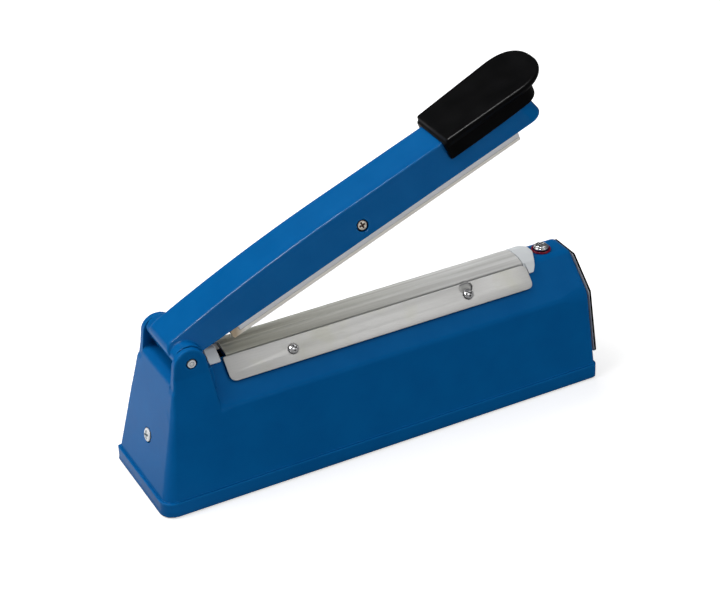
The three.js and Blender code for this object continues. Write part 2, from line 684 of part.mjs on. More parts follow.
function buildSealBar(group) {
  addPart(group, "seal_bar", sealBar(), "aluminium");
  addPart(group, "under_tape", box(BAR.start, BAR.end, -3.5, 3.5, 89.05, 89.2), "cloth");
  addPart(group, "heating_element", box(BAR.start, BAR.end, -1.3, 1.3, 89.25, 89.45), "nichrome");
  addPart(group, "cloth_cover", clothCover(), "cloth");
  addPart(group, "end_block_left", endBlockLeft(), "whitePlastic");
  addPart(group, "end_block_right", endBlockRight(), "whitePlastic");
  addPart(group, "terminal_left", terminal(-101), "brass");
  for (const [label, place] of Object.entries(SHIELD_SIDES)) {
    addPart(group, `shield_plate_${label}`, shieldPlate(place), "plateSteel");
    SHIELD_SCREWS.forEach((x, i) => {
      addPart(group, `shield_screw_${label}_${i + 1}`, shieldScrew(place, x), "chrome");
    });
  }
}

function buildHinge(group) {
  addPart(group, "hinge_pin", crossRod(PIN.radius, PIN.x, PIN.z, -PIN.half, PIN.half), "chrome");
  addPart(group, "hinge_washer_front", washer(-1), "whitePlastic");
  addPart(group, "hinge_washer_rear", washer(1), "whitePlastic");
  addPart(group, "lift_spring", liftSpring(), "chrome");
}

function buildLever(group) {
  const lever = new THREE.Group();
  lever.position.set(PIN.x, 0, PIN.z);
  lever.rotation.y = -THREE.MathUtils.degToRad(OPEN_ANGLE);
  addPart(lever, "lever_arm", leverArm(), "bluePlastic");
  addPart(lever, "presser_bar", presserBar(), "aluminium");
  addPart(lever, "silicone_pad", siliconePad(), "silicone");
  addPart(lever, "arm_screw_front", armScrew(-1), "brass");
  addPart(lever, "arm_screw_rear", armScrew(1), "brass");
  addPart(lever, "grip", grip(), "blackPlastic");
  addPart(lever, "grip_screw_1", gripScrew(225), "chrome");
  addPart(lever, "grip_screw_2", gripScrew(252), "chrome");
  group.add(lever);
}

buildBase(sealer);
buildControls(sealer);
buildTransformer(sealer);
buildSealBar(sealer);
buildHinge(sealer);
buildLever(sealer);

export default sealer;
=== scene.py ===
"""Looks for the hand impulse heat sealer: finished meshes, materials, studio and camera.

Metres throughout. The case is described in its own frame, whose origin is the bottom centre of the
foot rim. The lever is described in a frame at the hinge pin: s runs along it and h square to it.
Moulded parts are surfaces of a field (negative inside), so that every edge is a true fillet.
"""

import json
import math
from functools import reduce

import bpy
import numpy as np
from mathutils import Matrix, Vector


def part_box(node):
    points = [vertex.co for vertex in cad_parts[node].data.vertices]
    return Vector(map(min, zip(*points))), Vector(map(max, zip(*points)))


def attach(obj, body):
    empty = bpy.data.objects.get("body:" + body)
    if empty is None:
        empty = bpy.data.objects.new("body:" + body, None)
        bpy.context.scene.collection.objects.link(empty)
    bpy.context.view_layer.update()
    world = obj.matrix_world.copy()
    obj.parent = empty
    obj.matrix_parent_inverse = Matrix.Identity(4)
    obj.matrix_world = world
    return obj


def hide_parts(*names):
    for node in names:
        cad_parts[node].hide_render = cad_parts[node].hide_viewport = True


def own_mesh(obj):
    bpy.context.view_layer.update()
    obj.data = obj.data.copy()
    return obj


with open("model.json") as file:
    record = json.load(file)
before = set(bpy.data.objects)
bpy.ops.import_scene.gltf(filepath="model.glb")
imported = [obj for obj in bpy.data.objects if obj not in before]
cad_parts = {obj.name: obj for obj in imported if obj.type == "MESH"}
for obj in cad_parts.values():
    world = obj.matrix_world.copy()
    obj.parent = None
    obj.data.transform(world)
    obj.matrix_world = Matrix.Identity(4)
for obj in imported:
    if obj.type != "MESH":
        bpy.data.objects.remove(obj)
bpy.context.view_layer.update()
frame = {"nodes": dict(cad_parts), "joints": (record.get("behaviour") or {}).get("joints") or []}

# ---------- places taken from the frame ----------
case_low, case_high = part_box("body_housing")
ORIGIN = Vector(((case_low.x + case_high.x) / 2, 0, case_low.z))
pin_low, pin_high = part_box("hinge_pin")
PIN = (pin_low + pin_high) / 2 - ORIGIN
JOINTS = {joint["name"]: joint for joint in frame["joints"]}
OPEN_ANGLE = math.radians(JOINTS["lever_hinge"]["range_deg"][1])

# ---------- driving dimensions ----------
LENGTH = case_high.x - case_low.x
WIDTH = case_high.y - case_low.y
RIM_HEIGHT = 0.0103
WALL = 0.0026
FOOT_CORNER = (0.0385, 0.009)  # (half width, height) where the wall meets the rim
SHOULDER = (0.0319, 0.0639)
DECK_EDGE = (0.0099, 0.0863)
DECK_Z = 0.0866
LEFT_LOW, LEFT_SHOULDER = (-0.1586, 0.009), (-0.1469, 0.0639)
RIGHT_LOW, RIGHT_SHOULDER = (0.1592, 0.009), (0.1571, 0.0639)
END_SCREW_Z, END_SCREW_RADIUS = 0.0393, 0.0045
PIN_END_RADIUS, PIN_HOLE = 0.00275, 0.00315

HINGE_FLOOR = 0.0898
EAR_CENTRE, EAR_RADIUS, EAR_INNER, EAR_OUTER = (-0.1289, 0.0983), 0.011, 0.0223, 0.027
EAR_FEET, EAR_COLLAR_Z = ((-0.145, 0.062), (-0.1119, 0.062)), 0.083

ARM_TAIL, ARM_NOSE, ARM_LOW = -0.0083, 0.2765, -0.002
ARM_LOW_HALF, ARM_TOP_HALF, ARM_TOP, ARM_WALL = 0.02, 0.0138, 0.0209, 0.0025
ARM_BOSS_RADIUS = 0.0105
ARM_SCREW = (0.137, 0.0056)
GRIP_START, GRIP_BEND, GRIP_END = 0.209, 0.266, 0.289
GRIP_REAR_HALF, GRIP_FRONT_HALF = 0.0201, 0.0228
GRIP_REAR_TOP, GRIP_FRONT_TOP = 0.0253, 0.029

BAR_START, BAR_END, CLOTH_TOP = -0.0987, 0.1174, 0.0899
SHIELD_START, SHIELD_END = -0.1016, 0.1189
SHIELD_SCREWS = (-0.0555, 0.0721)
PLUNGER_X = 0.1387
KNOB_Z = 0.046
SHAFT_HOLE = 0.0052
CORD_X, CORD_Z = 0.12, 0.022
PRESSER_START, PRESSER_END, PRESSER_HALF = 0.0375, 0.2545, 0.0188
PAD_HALF = 0.0184


# ---------- fields: negative inside, in metres ----------
def beyond(u, v, start, end):
    """How far (u, v) lies to the right of the line from start to end."""
    du, dv = end[0] - start[0], end[1] - start[1]
    return ((u - start[0]) * dv - (v - start[1]) * du) / math.hypot(du, dv)


def sharp_max(*fields):
    """What all the solids share."""
    return reduce(np.maximum, fields)


def sharp_min(*fields):
    """The solids joined."""
    return reduce(np.minimum, fields)


def round_max(radius, *fields):
    """What all the solids share, with the edges between them rounded."""
    spread = sum(np.maximum(field + radius, 0) ** 2 for field in fields)
    return np.minimum(-radius, sharp_max(*fields)) + np.sqrt(spread)


def round_min(radius, *fields):
    """The solids joined, with fillets between them."""
    return -round_max(radius, *[-field for field in fields])


def teardrop(u, v, centre, radius, feet):
    """A disc with two straight edges running down from it to its two feet."""
    sides = []
    above = []
    for foot, turn in zip(feet, (1, -1)):
        gap = Vector(centre) - Vector(foot)
        angle = math.atan2(gap.y, gap.x) + turn * math.asin(radius / gap.length)
        ahead = (math.cos(angle), math.sin(angle))
        side = (u - foot[0]) * ahead[1] - (v - foot[1]) * ahead[0]
        sides.append(-turn * side)
        above.append((u - centre[0]) * ahead[0] + (v - centre[1]) * ahead[1] > 0)
    disc = np.hypot(u - centre[0], v - centre[1]) - radius
    return np.where(above[0] & above[1], disc, np.maximum(*sides))


# ---------- meshes ----------
def spaced(*spans):
    """Grid lines over joined spans, each (start, end, step)."""
    lines = [np.arange(start, end - step / 2, step) for start, end, step in spans]
    return np.concatenate(lines + [np.array([spans[-1][1]])])


def even_grid(step, *spans):
    """Grid lines of one step along x, y and z."""
    return [spaced((*span, step)) for span in spans]


def crossings(values, axes, axis):
    """Where grid edges along one axis cross zero: cell index, point, and if the start is inside."""
    first = np.take(values, range(values.shape[axis] - 1), axis)
    second = np.take(values, range(1, values.shape[axis]), axis)
    crossed = (first < 0) != (second < 0)
    index = np.argwhere(crossed)
    share = first[crossed] / (first[crossed] - second[crossed])
    points = np.stack([axes[k][index[:, k]] for k in range(3)], axis=1)
    points[:, axis] += share * np.diff(axes[axis])[index[:, axis]]
    return index, points, first[crossed] < 0


def slopes(field, points, reach=2e-5):
    """The field's gradient at each point."""
    gradient = np.empty_like(points)
    for k in range(3):
        step = np.zeros(3)
        step[k] = reach
        gradient[:, k] = (field(*(points + step).T) - field(*(points - step).T)) / (2 * reach)
    return gradient


def surface(field, xs, ys, zs):
    """Points, quads and normals of the surface where the field is zero."""
    axes = (xs, ys, zs)
    values = field(xs[:, None, None], ys[None, :, None], zs[None, None, :])
    cells = np.array(values.shape) - 1
    quads, corners = [], []
    for axis in range(3):
        index, points, inside = crossings(values, axes, axis)
        one, two = (axis + 1) % 3, (axis + 2) % 3
        ids = []
        for back_one, back_two in ((1, 1), (0, 1), (0, 0), (1, 0)):
            cell = index.copy()
            cell[:, one] -= back_one
            cell[:, two] -= back_two
            ids.append((cell[:, 0] * cells[1] + cell[:, 1]) * cells[2] + cell[:, 2])
        ids = np.stack(ids, axis=1)
        quads.append(np.where(inside[:, None], ids, ids[:, ::-1]))
        corners.append(np.repeat(points, 4, axis=0))
    quads = np.concatenate(quads)
    corners = np.concatenate(corners)
    flat = np.unique(quads.ravel(), return_inverse=True)[1]
    count = np.bincount(flat)
    points = np.stack([np.bincount(flat, corners[:, k]) / count for k in range(3)], axis=1)
    for _ in range(3):
        gradient = slopes(field, points)
        size = np.maximum((gradient**2).sum(axis=1), 0.2)
        points -= gradient * (field(*points.T) / size)[:, None]
    normals = slopes(field, points)
    normals /= np.maximum(np.linalg.norm(normals, axis=1), 1e-9)[:, None]
    return points, flat.reshape(-1, 4), normals


def new_object(name, data):
    """An object with that data, in the scene."""
    made = bpy.data.objects.new(name, data)
    bpy.context.scene.collection.objects.link(made)
    return made


def add_piece(name, shape, body, material, place=None, crease=35, replaces=None):
    """A smooth-shaded piece riding on a body, standing for the CAD node of its own name or others.

    Its shape is points, faces and perhaps normals. Without normals, edges that turn by more than
    crease degrees are kept sharp.
    """
    points, faces, *normals = shape
    mesh = bpy.data.meshes.new(name)
    place = place or Matrix.Translation(ORIGIN)
    turn = np.array(place.to_3x3()).T
    moved = np.asarray(points) @ turn + np.array(place.translation)
    mesh.from_pydata(moved.tolist(), [], [list(map(int, face)) for face in faces])
    mesh.polygons.foreach_set("use_smooth", np.ones(len(mesh.polygons), dtype=bool))
    if normals:
        mesh.normals_split_custom_set_from_vertices((normals[0] @ turn).tolist())
    elif crease:
        mesh.set_sharp_from_angle(angle=math.radians(crease))
    mesh.materials.append(material)
    piece = new_object(name + "_skin", mesh)
    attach(piece, body)
    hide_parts(*(replaces or [name]))
    return piece


def around(sides):
    """Equal steps round a circle."""
    return np.arange(sides) * 2 * math.pi / sides


def loft(rings, closed=False):
    """Points and faces of a skin over rings of equal counts, its ends capped or joined."""
    count = len(rings[0])
    points = np.concatenate(rings)
    faces = []
    for k in range(len(rings) if closed else len(rings) - 1):
        here, there = k * count, (k + 1) % len(rings) * count
        for i in range(count):
            j = (i + 1) % count
            faces.append((here + i, here + j, there + j, there + i))
    if not closed:
        faces.append(tuple(range(count))[::-1])
        faces.append(tuple(range(len(points) - count, len(points))))
    return points, faces


def filleted(outline, radius, steps=5, closed=False):
    """The 2D outline with an arc of that radius (or one radius for each corner) at its corners."""
    points = [Vector(point) for point in outline]
    radii = radius if hasattr(radius, "__len__") else [radius] * len(points)
    out = []
    for i, corner in enumerate(points):
        if not closed and i in (0, len(points) - 1) or radii[i] == 0:
            out.append(corner)
            continue
        back = points[i - 1] - corner
        ahead = points[(i + 1) % len(points)] - corner
        half = back.angle(ahead) / 2
        reach = min(radii[i] / math.tan(half), 0.49 * back.length, 0.49 * ahead.length)
        start = corner + back.normalized() * reach
        end = corner + ahead.normalized() * reach
        for k in range(steps + 1):
            t = k / steps
            out.append(start * (1 - t) ** 2 + corner * 2 * t * (1 - t) + end * t**2)
    return np.array([tuple(point) for point in out])


def turned(profile, sides=48, flutes=0, depth=0.0, full_depth=0.009):
    """A lathe shape about z from (radius, z) pairs that start and end on the axis.

    Flutes, if any, reach their depth from the full_depth radius outwards.
    """
    angles = around(sides)
    wave = (1 - np.cos(flutes * angles)) / 2
    rings = []
    for radius, z in profile:
        radii = max(radius, 1e-6) - depth * min(1, radius / full_depth) * wave
        columns = radii * np.cos(angles), radii * np.sin(angles), np.full(sides, z)
        rings.append(np.stack(columns, axis=1))
    return loft(rings)


def hoop(section, sides=64):
    """A ring about z whose closed section is (radius, z) pairs."""
    radii, heights = np.asarray(section).T
    rings = [
        np.stack([radii * math.cos(angle), radii * math.sin(angle), heights], axis=1)
        for angle in around(sides)
    ]
    points, faces = loft(rings, closed=True)
    return points, [face[::-1] for face in faces]


def tube(path, radius, sides=12):
    """A round wire along a path of points, cut square at each end."""
    path = np.asarray(path)
    ahead = np.gradient(path, axis=0)
    ahead /= np.linalg.norm(ahead, axis=1)[:, None]
    outward = np.cross(ahead, [0, 0, 1.0])
    outward /= np.linalg.norm(outward, axis=1)[:, None]
    upward = np.cross(outward, ahead)
    angles = around(sides)
    rings = []
    for point, out, up in zip(path, outward, upward):
        ring = np.cos(angles)[:, None] * out + np.sin(angles)[:, None] * up
        rings.append(point - radius * ring)
    return loft(rings)


def coil(radius, wire, low, high, turns):
    """A helix wire whose end coils lie flat."""
    t = np.linspace(0, 1, int(turns * 28))
    angle = 2 * math.pi * turns * t
    rise = np.clip((t * turns - 0.8) / (turns - 1.6), 0, 1)
    rise = rise * 0.94 + 0.06 * t
    z = low + wire + (high - low - 2 * wire) * rise
    return tube(np.stack([radius * np.cos(angle), radius * np.sin(angle), z], axis=1), wire)


def drawn(curve):
    """Points and faces of a curve or a text."""
    holder = new_object(curve.name, curve)
    graph = bpy.context.evaluated_depsgraph_get()
    mesh = bpy.data.meshes.new_from_object(holder.evaluated_get(graph))
    points = np.array([tuple(vertex.co) for vertex in mesh.vertices])
    faces = [tuple(polygon.vertices) for polygon in mesh.polygons]
    bpy.data.objects.remove(holder)
    return points, faces


def sheet(outline, holes, thickness, bevel):
    """Points and faces of a flat plate lying on z = 0, with holes and a fine bevel."""
    curve = bpy.data.curves.new("sheet", "CURVE")
    curve.dimensions = "2D"
    curve.fill_mode = "BOTH"
    curve.extrude = thickness / 2 - bevel
    curve.bevel_depth = bevel
    curve.bevel_resolution = 2
    curve.offset = -bevel
    for loop in [outline, *holes]:
        spline = curve.splines.new("POLY")
        spline.points.add(len(loop) - 1)
        for point, (x, y) in zip(spline.points, loop):
            point.co = (x, y, 0, 1)
        spline.use_cyclic_u = True
    points, faces = drawn(curve)
    return points + [0, 0, thickness / 2], faces


def circle(x, y, radius, steps=32):
    angles = around(steps)
    return np.stack([x + radius * np.cos(angles), y + radius * np.sin(angles)], axis=1)


def weld(piece):
    """Joins points that coincide."""
    piece.modifiers.new("weld", "WELD").merge_threshold = 1e-6


# ---------- places on the machine ----------
SLOPE_ANGLE = math.atan2(DECK_EDGE[1] - SHOULDER[1], SHOULDER[0] - DECK_EDGE[0])


def axes_matrix(origin, x_axis, y_axis, z_axis):
    matrix = Matrix((x_axis, y_axis, z_axis)).transposed().to_4x4()
    matrix.translation = ORIGIN + Vector(origin)
    return matrix


def slope_place(side, along=0.0, up=0.0, out=0.0):
    """Frame on the front (-1) or rear (1) slope: x along it, y up it, z out of it."""
    x_axis = Vector((-side, 0, 0))
    y_axis = Vector((0, -side * math.cos(SLOPE_ANGLE), math.sin(SLOPE_ANGLE)))
    z_axis = x_axis.cross(y_axis)
    origin = Vector((0, side * SHOULDER[0], SHOULDER[1]))
    return axes_matrix(origin + x_axis * along + y_axis * up + z_axis * out, x_axis, y_axis, z_axis)


def on_slope(up, out):
    """(y, z) on the rear slope: up along it from the shoulder, and out from its face."""
    cosine, sine = math.cos(SLOPE_ANGLE), math.sin(SLOPE_ANGLE)
    return (SHOULDER[0] - up * cosine + out * sine, SHOULDER[1] + up * sine + out * cosine)


def lever_place(s=0.0, y=0.0, h=0.0):
    """Frame on the raised lever: x along it, z square to it."""
    x_axis = Vector((math.cos(OPEN_ANGLE), 0, math.sin(OPEN_ANGLE)))
    z_axis = Vector((-math.sin(OPEN_ANGLE), 0, math.cos(OPEN_ANGLE)))
    origin = PIN + x_axis * s + Vector((0, y, 0)) + z_axis * h
    return axes_matrix(origin, x_axis, (0, 1, 0), z_axis)


def end_place(x, y, z, side):
    """Frame on an end face: its z axis points out of the left (-1) or right (1) end."""
    return axes_matrix((x, y, z), (0, side, 0), (0, 0, 1), (side, 0, 0))


def face_x(low, shoulder, z):
    """x of an end face at a height, from its points at the rim and the shoulder."""
    share = (z - low[1]) / (shoulder[1] - low[1])
    return low[0] + share * (shoulder[0] - low[0])


RIGHT_FACE_X = face_x(RIGHT_LOW, RIGHT_SHOULDER, KNOB_Z)
LEFT_FACE_X = face_x(LEFT_LOW, LEFT_SHOULDER, END_SCREW_Z)


# ---------- materials ----------
def link(tree, value, socket):
    if isinstance(value, bpy.types.NodeSocket):
        tree.links.new(value, socket)
    else:
        socket.default_value = value


def add_node(tree, kind, inputs, **settings):
    node = tree.nodes.new(kind)
    for key, value in settings.items():
        setattr(node, key, value)
    for key, value in inputs.items():
        link(tree, value, node.inputs[key])
    return node


def own_place(tree):
    """The point's place in the piece's own coordinates."""
    return add_node(tree, "ShaderNodeTexCoord", {}).outputs["Object"]


def noise(tree, scale, detail=3.0, stretch=(1, 1, 1)):
    """A noise value over the piece's own coordinates, about 0.5 on average."""
    mapping = add_node(tree, "ShaderNodeMapping", {"Vector": own_place(tree), "Scale": stretch})
    inputs = {"Vector": mapping.outputs["Vector"], "Scale": scale, "Detail": detail}
    return add_node(tree, "ShaderNodeTexNoise", inputs).outputs["Fac"]


def own_x(tree):
    return add_node(tree, "ShaderNodeSeparateXYZ", {"Vector": own_place(tree)}).outputs["X"]


def spread(tree, value, low, high, start=0.3, end=0.7):
    """Maps a value between start and end onto low to high."""
    inputs = {"Value": value, "From Min": start, "From Max": end, "To Min": low, "To Max": high}
    return add_node(tree, "ShaderNodeMapRange", inputs).outputs["Result"]


def mixed(tree, factor, one, two, blend_type="MIX"):
    """A colour between one and two. The node's colour sockets are 6 and 7 in, and 2 out."""
    inputs = {"Factor": factor, 6: one, 7: two}
    node = add_node(tree, "ShaderNodeMix", inputs, data_type="RGBA", blend_type=blend_type)
    return node.outputs[2]


def bump(tree, height, distance, strength=1.0):
    inputs = {"Height": height, "Distance": distance, "Strength": strength}
    return add_node(tree, "ShaderNodeBump", inputs).outputs["Normal"]


def edge_highlight_mask(tree):
    """Where a highlight is painted: 0 on flat faces and 1 on sharp convex edges."""
    pointiness = add_node(tree, "ShaderNodeNewGeometry", {}).outputs["Pointiness"]
    return spread(tree, pointiness, 0.0, 1.0, 0.505, 0.56)


def new_material(build, metallic=0.0, ior=1.45):
    """A Principled material named after build(tree), which returns sockets or values for its inputs."""
    material = bpy.data.materials.new(build.__name__)
    material.use_nodes = True
    tree = material.node_tree
    shader = tree.nodes["Principled BSDF"]
    for key, value in {"Metallic": metallic, "IOR": ior, **build(tree)}.items():
        link(tree, value, shader.inputs[key])
    return material


def blotched(tree, value, one, two, low=0, high=1):
    """Two colours mixed by a noise value."""
    return mixed(tree, spread(tree, value, low, high), (*one, 1), (*two, 1))


def shaded_gaps(tree, colour, reach, deep=(0.12, 0.12, 0.2), shut=0.1, clear=0.8):
    """The colour, darkened inside gaps and corners up to about the reach wide."""
    inputs = {"Distance": reach}
    open_share = add_node(tree, "ShaderNodeAmbientOcclusion", inputs, samples=8).outputs["AO"]
    shade = mixed(tree, spread(tree, open_share, 0, 1, shut, clear), (*deep, 1), (1, 1, 1, 1))
    return mixed(tree, 1.0, colour, shade, "MULTIPLY")


def moulded(tree, light, dark, rough, grain, edge=None, reach=0.004):
    """Moulded plastic: faint mottling, fine grain, paler edges as a painted highlight, painted shade in
    gaps.
    """
    colour = blotched(tree, noise(tree, 45, 4), dark, light)
    # Painted highlight: sharp convex edges turn towards the paler edge colour.
    if edge:
        edge_highlight = add_node(tree, "ShaderNodeMath", {0: edge_highlight_mask(tree), 1: 0.35}, operation="MULTIPLY")
        colour = mixed(tree, edge_highlight.outputs[0], colour, (*edge, 1))
    return {
        "Base Color": shaded_gaps(tree, colour, reach),
        "Roughness": spread(tree, noise(tree, 90, 5), *rough),
        "Normal": bump(tree, noise(tree, 2600, 3), grain),
    }


def brushed(tree, light, dark, rough, stretch, scale=240, lines=3e-6):
    """Metal with fine drawn lines along one direction and faint cloudy tarnish."""
    lined = noise(tree, scale, 6, stretch)
    colour = blotched(tree, lined, dark, light)
    colour = mixed(tree, spread(tree, noise(tree, 28, 3), 0, 0.25), colour, (*dark, 1))
    return {
        "Base Color": colour,
        "Roughness": spread(tree, lined, *rough),
        "Normal": bump(tree, lined, lines),
    }


def smeared(tree, scale, detail, one, two, rough, gap_shade=None):
    """A smooth finish with blotches of two colours, with painted shade in its gaps if asked."""
    smear = noise(tree, scale, detail)
    colour = blotched(tree, smear, one, two)
    if gap_shade:
        colour = shaded_gaps(tree, colour, *gap_shade)
    return {"Base Color": colour, "Roughness": spread(tree, smear, *rough)}


def blue_plastic(tree):
    # The third colour is a painted highlight for sharp edges.
    light, dark, edge_highlight = (0.0016, 0.14, 0.43), (0.001, 0.125, 0.395), (0.01, 0.19, 0.52)
    return moulded(tree, light, dark, (0.15, 0.23), 6e-6, edge_highlight, 0.009)


def black_plastic(tree):
    return moulded(tree, (0.0035, 0.0035, 0.004), (0.0018, 0.0018, 0.002), (0.28, 0.4), 1.5e-5)


def panel_black(tree):
    """The end panel's sheet: dead matt."""
    return moulded(tree, (0.004, 0.004, 0.0045), (0.002, 0.002, 0.0022), (0.6, 0.8), 1e-5)


def white_plastic(tree):
    return moulded(tree, (0.94, 0.975, 1.0), (0.87, 0.91, 0.94), (0.45, 0.6), 1e-5, reach=0.0015)


def plate_steel(tree):
    light, dark, stained = (0.59, 0.585, 0.575), (0.51, 0.51, 0.5), (0.49, 0.49, 0.4, 1)
    shine = brushed(tree, light, dark, (0.36, 0.46), (1, 14, 14), 120, 1e-6)
    stain = spread(tree, noise(tree, 38, 4), 0, 0.45, 0.52, 0.7)
    shine["Base Color"] = shaded_gaps(tree, mixed(tree, stain, shine["Base Color"], stained), 0.002)
    return shine


def aluminium(tree):
    return brushed(tree, (0.95, 0.97, 1.0), (0.82, 0.84, 0.87), (0.3, 0.45), (1, 30, 30), 150)


def chrome(tree):
    # Painted shade, near black, in recesses such as the cross.
    gap_shade = 0.0014, (0.03, 0.03, 0.03), 0.3, 0.9
    return smeared(tree, 700, 3, (0.78, 0.78, 0.8), (0.95, 0.95, 0.96), (0.08, 0.2), gap_shade)


def plated_brass(tree):
    # Painted shade in the cross recess, dark reddish brown.
    gap_shade = 0.002, (0.05, 0.01, 0.004), 0.7, 0.96
    return smeared(tree, 900, 4, (0.85, 0.76, 0.62), (0.96, 0.92, 0.84), (0.15, 0.35), gap_shade)


def bright_zinc(tree):
    """The pin's flat ends: pale and satin, nearly white."""
    # Painted shade in recesses and gaps, bluish grey.
    gap_shade = 0.0015, (0.35, 0.4, 0.42), 0.7, 0.97
    return smeared(tree, 800, 3, (0.85, 0.88, 0.9), (0.94, 0.96, 0.98), (0.3, 0.45), gap_shade)


def dark_nickel(tree):
    return brushed(tree, (0.5, 0.49, 0.46), (0.36, 0.35, 0.33), (0.35, 0.5), (1, 30, 30))


def glass_cloth(tree):
    """Non-stick coated glass cloth: a fine weave, long soft streaks, painted shade towards the hinge.
    """
    # Painted shade and painted reflection of the lever above: the cloth darkens towards the hinge end.
    along = spread(tree, own_x(tree), 0, 1, -0.105, 0.06)
    streak = noise(tree, 300, 4, (0.03, 1, 1))
    dark = blotched(tree, streak, (0.4, 0.4, 0.33), (0.64, 0.64, 0.56))
    pale = blotched(tree, streak, (0.66, 0.66, 0.64), (0.95, 0.95, 0.94))
    fine = {"Vector": own_place(tree), "Scale": 700.0}
    threads = [add_node(tree, "ShaderNodeTexWave", fine, bands_direction=axis) for axis in "XY"]
    weave = add_node(tree, "ShaderNodeMath", {i: wave.outputs["Fac"] for i, wave in enumerate(threads)})
    return {
        "Base Color": shaded_gaps(tree, mixed(tree, along, dark, pale), 0.0016),
        "Roughness": spread(tree, streak, 0.38, 0.6),
        "Normal": bump(tree, weave.outputs[0], 1.2e-5),
    }


def silicone(tree):
    """The pad: soft and pale, browned at its turned-up end."""
    soft = moulded(tree, (0.97, 0.94, 0.88), (0.88, 0.85, 0.79), (0.5, 0.65), 2e-5, reach=0.001)
    scorched = spread(tree, own_x(tree), 1, 0, -0.099, -0.092)
    soft["Base Color"] = mixed(tree, scorched, soft["Base Color"], (0.5, 0.4, 0.28, 1))
    return soft


def rubber(tree):
    return moulded(tree, (0.02, 0.02, 0.021), (0.011, 0.011, 0.012), (0.7, 0.9), 3e-5)


def red_lens(tree):
    return {
        "Base Color": blotched(tree, noise(tree, 500, 2), (0.16, 0.003, 0.02), (0.3, 0.006, 0.03)),
        "Roughness": spread(tree, noise(tree, 300, 2), 0.06, 0.16),
    }


def circuit_board(tree):
    return moulded(tree, (0.05, 0.24, 0.1), (0.03, 0.17, 0.07), (0.35, 0.55), 2e-5)


def core_steel(tree):
    return brushed(tree, (0.2, 0.2, 0.21), (0.1, 0.1, 0.11), (0.45, 0.65), (40, 1, 1), 90, 2e-5)


def winding_tape(tree):
    turns = noise(tree, 260, 2, (1, 1, 14))
    colour = blotched(tree, turns, (0.55, 0.38, 0.07), (0.75, 0.58, 0.16))
    return {"Base Color": colour, "Roughness": 0.5, "Normal": bump(tree, turns, 4e-5)}


def dial_ink(tree):
    return smeared(tree, 900, 4, (0.62, 0.62, 0.6), (0.85, 0.85, 0.84), (0.5, 0.7))


BLUE = new_material(blue_plastic, ior=1.15)
BLACK = new_material(black_plastic, ior=1.16)
PANEL = new_material(panel_black, ior=1.05)
WHITE = new_material(white_plastic)
STEEL = new_material(plate_steel, 1.0)
CHROME = new_material(chrome, 1.0)
BRASS = new_material(plated_brass, 0.35)
ZINC = new_material(bright_zinc, 0.2)
ALUMINIUM = new_material(aluminium, 0.15)
CLOTH = new_material(glass_cloth, ior=1.4)
SILICONE = new_material(silicone, ior=1.4)
RUBBER = new_material(rubber)
RED = new_material(red_lens, ior=1.49)
INK = new_material(dial_ink)


# ---------- the case ----------
def ramp(value, start, end):
    """0 before start, 1 after end, and a straight rise between them."""
    return np.clip((value - start) / (end - start), 0, 1)


def edge_radius(x, y, z):
    """Radius of the long faces' edges: wider at the ends, and widest low down at front left."""
    ends = ramp(-x, 0.106, 0.118) * ramp(-y, -0.02, 0.02) + ramp(x, 0.135, 0.15)
    widest = ramp(-x, 0.1, 0.13) * ramp(-y, 0.008, 0.023) * ramp(-z, -0.06, 0.0)
    return 0.0012 + 0.0026 * ends + 0.0052 * widest


def case_walls(x, y, z):
    """The case without its hinge ears and foot rim."""
    across = np.abs(y)
    slope = beyond(across, z, SHOULDER, DECK_EDGE)
    ends = np.maximum(beyond(x, z, LEFT_SHOULDER, LEFT_LOW), beyond(x, z, RIGHT_LOW, RIGHT_SHOULDER))
    return round_max(0.004, round_max(0.0022, slope, z - DECK_Z), ends)


def hinge_block(x, y, z):
    """The solid block between the ears, its top rounded over towards the end face."""
    end = beyond(x, z, LEFT_SHOULDER, LEFT_LOW)
    top = round_max(0.005, end, z - HINGE_FLOOR)
    inner = beyond(x, z, (-0.1106, 0.06), (-0.1126, HINGE_FLOOR))
    return round_max(0.0004, round_max(0.0013, top, inner), np.abs(y) - EAR_INNER - 0.0004)


def housing(x, y, z):
    across = np.abs(y)
    side = beyond(across, z, FOOT_CORNER, SHOULDER)
    walls = case_walls(x, y, z)
    ear_face = np.minimum(beyond(across, z, (0.0321, 0.062), (EAR_OUTER, 0.091)), across - EAR_OUTER)
    outside = np.maximum(side, ear_face)
    radius = edge_radius(x, y, z)
    body = round_max(radius, side, np.minimum(walls, hinge_block(x, y, z)))
    collar = np.maximum(beyond(x, z, LEFT_SHOULDER, LEFT_LOW), x + 0.12)
    collar = round_max(0.003, collar + 0.0001, z - EAR_COLLAR_Z)
    outline = round_min(0.002, teardrop(x, z, EAR_CENTRE, EAR_RADIUS, EAR_FEET), collar)
    ear_edge = 0.0009 + (radius - 0.0009) * ramp(-z, -0.088, -0.07)
    ear = round_max(0.0004, round_max(ear_edge, outline, outside), EAR_INNER - across)
    fillet = 0.0001 + 0.0012 * ramp(x, -0.14, -0.125) * ramp(-side, 0.0005, 0.003)
    shell = round_min(fillet, body, ear)
    rim_plan = round_max(radius + 0.0005, across - WIDTH / 2, np.abs(x) - LENGTH / 2)
    rim = round_max(0.0005, rim_plan, z - RIM_HEIGHT)
    shell = round_min(0.0003, shell, rim)
    cavity = round_max(radius, side, walls) + WALL
    recess = round_max(0.004, across - WIDTH / 2 + WALL, np.abs(x) - LENGTH / 2 + WALL)
    cavity = np.minimum(cavity, np.maximum(recess, z - 0.0029))
    shell = round_max(0.0005, shell, -cavity, -z)
    for cut in housing_cuts(x, y, z):
        shell = round_max(0.0003, shell, -cut)
    return shell


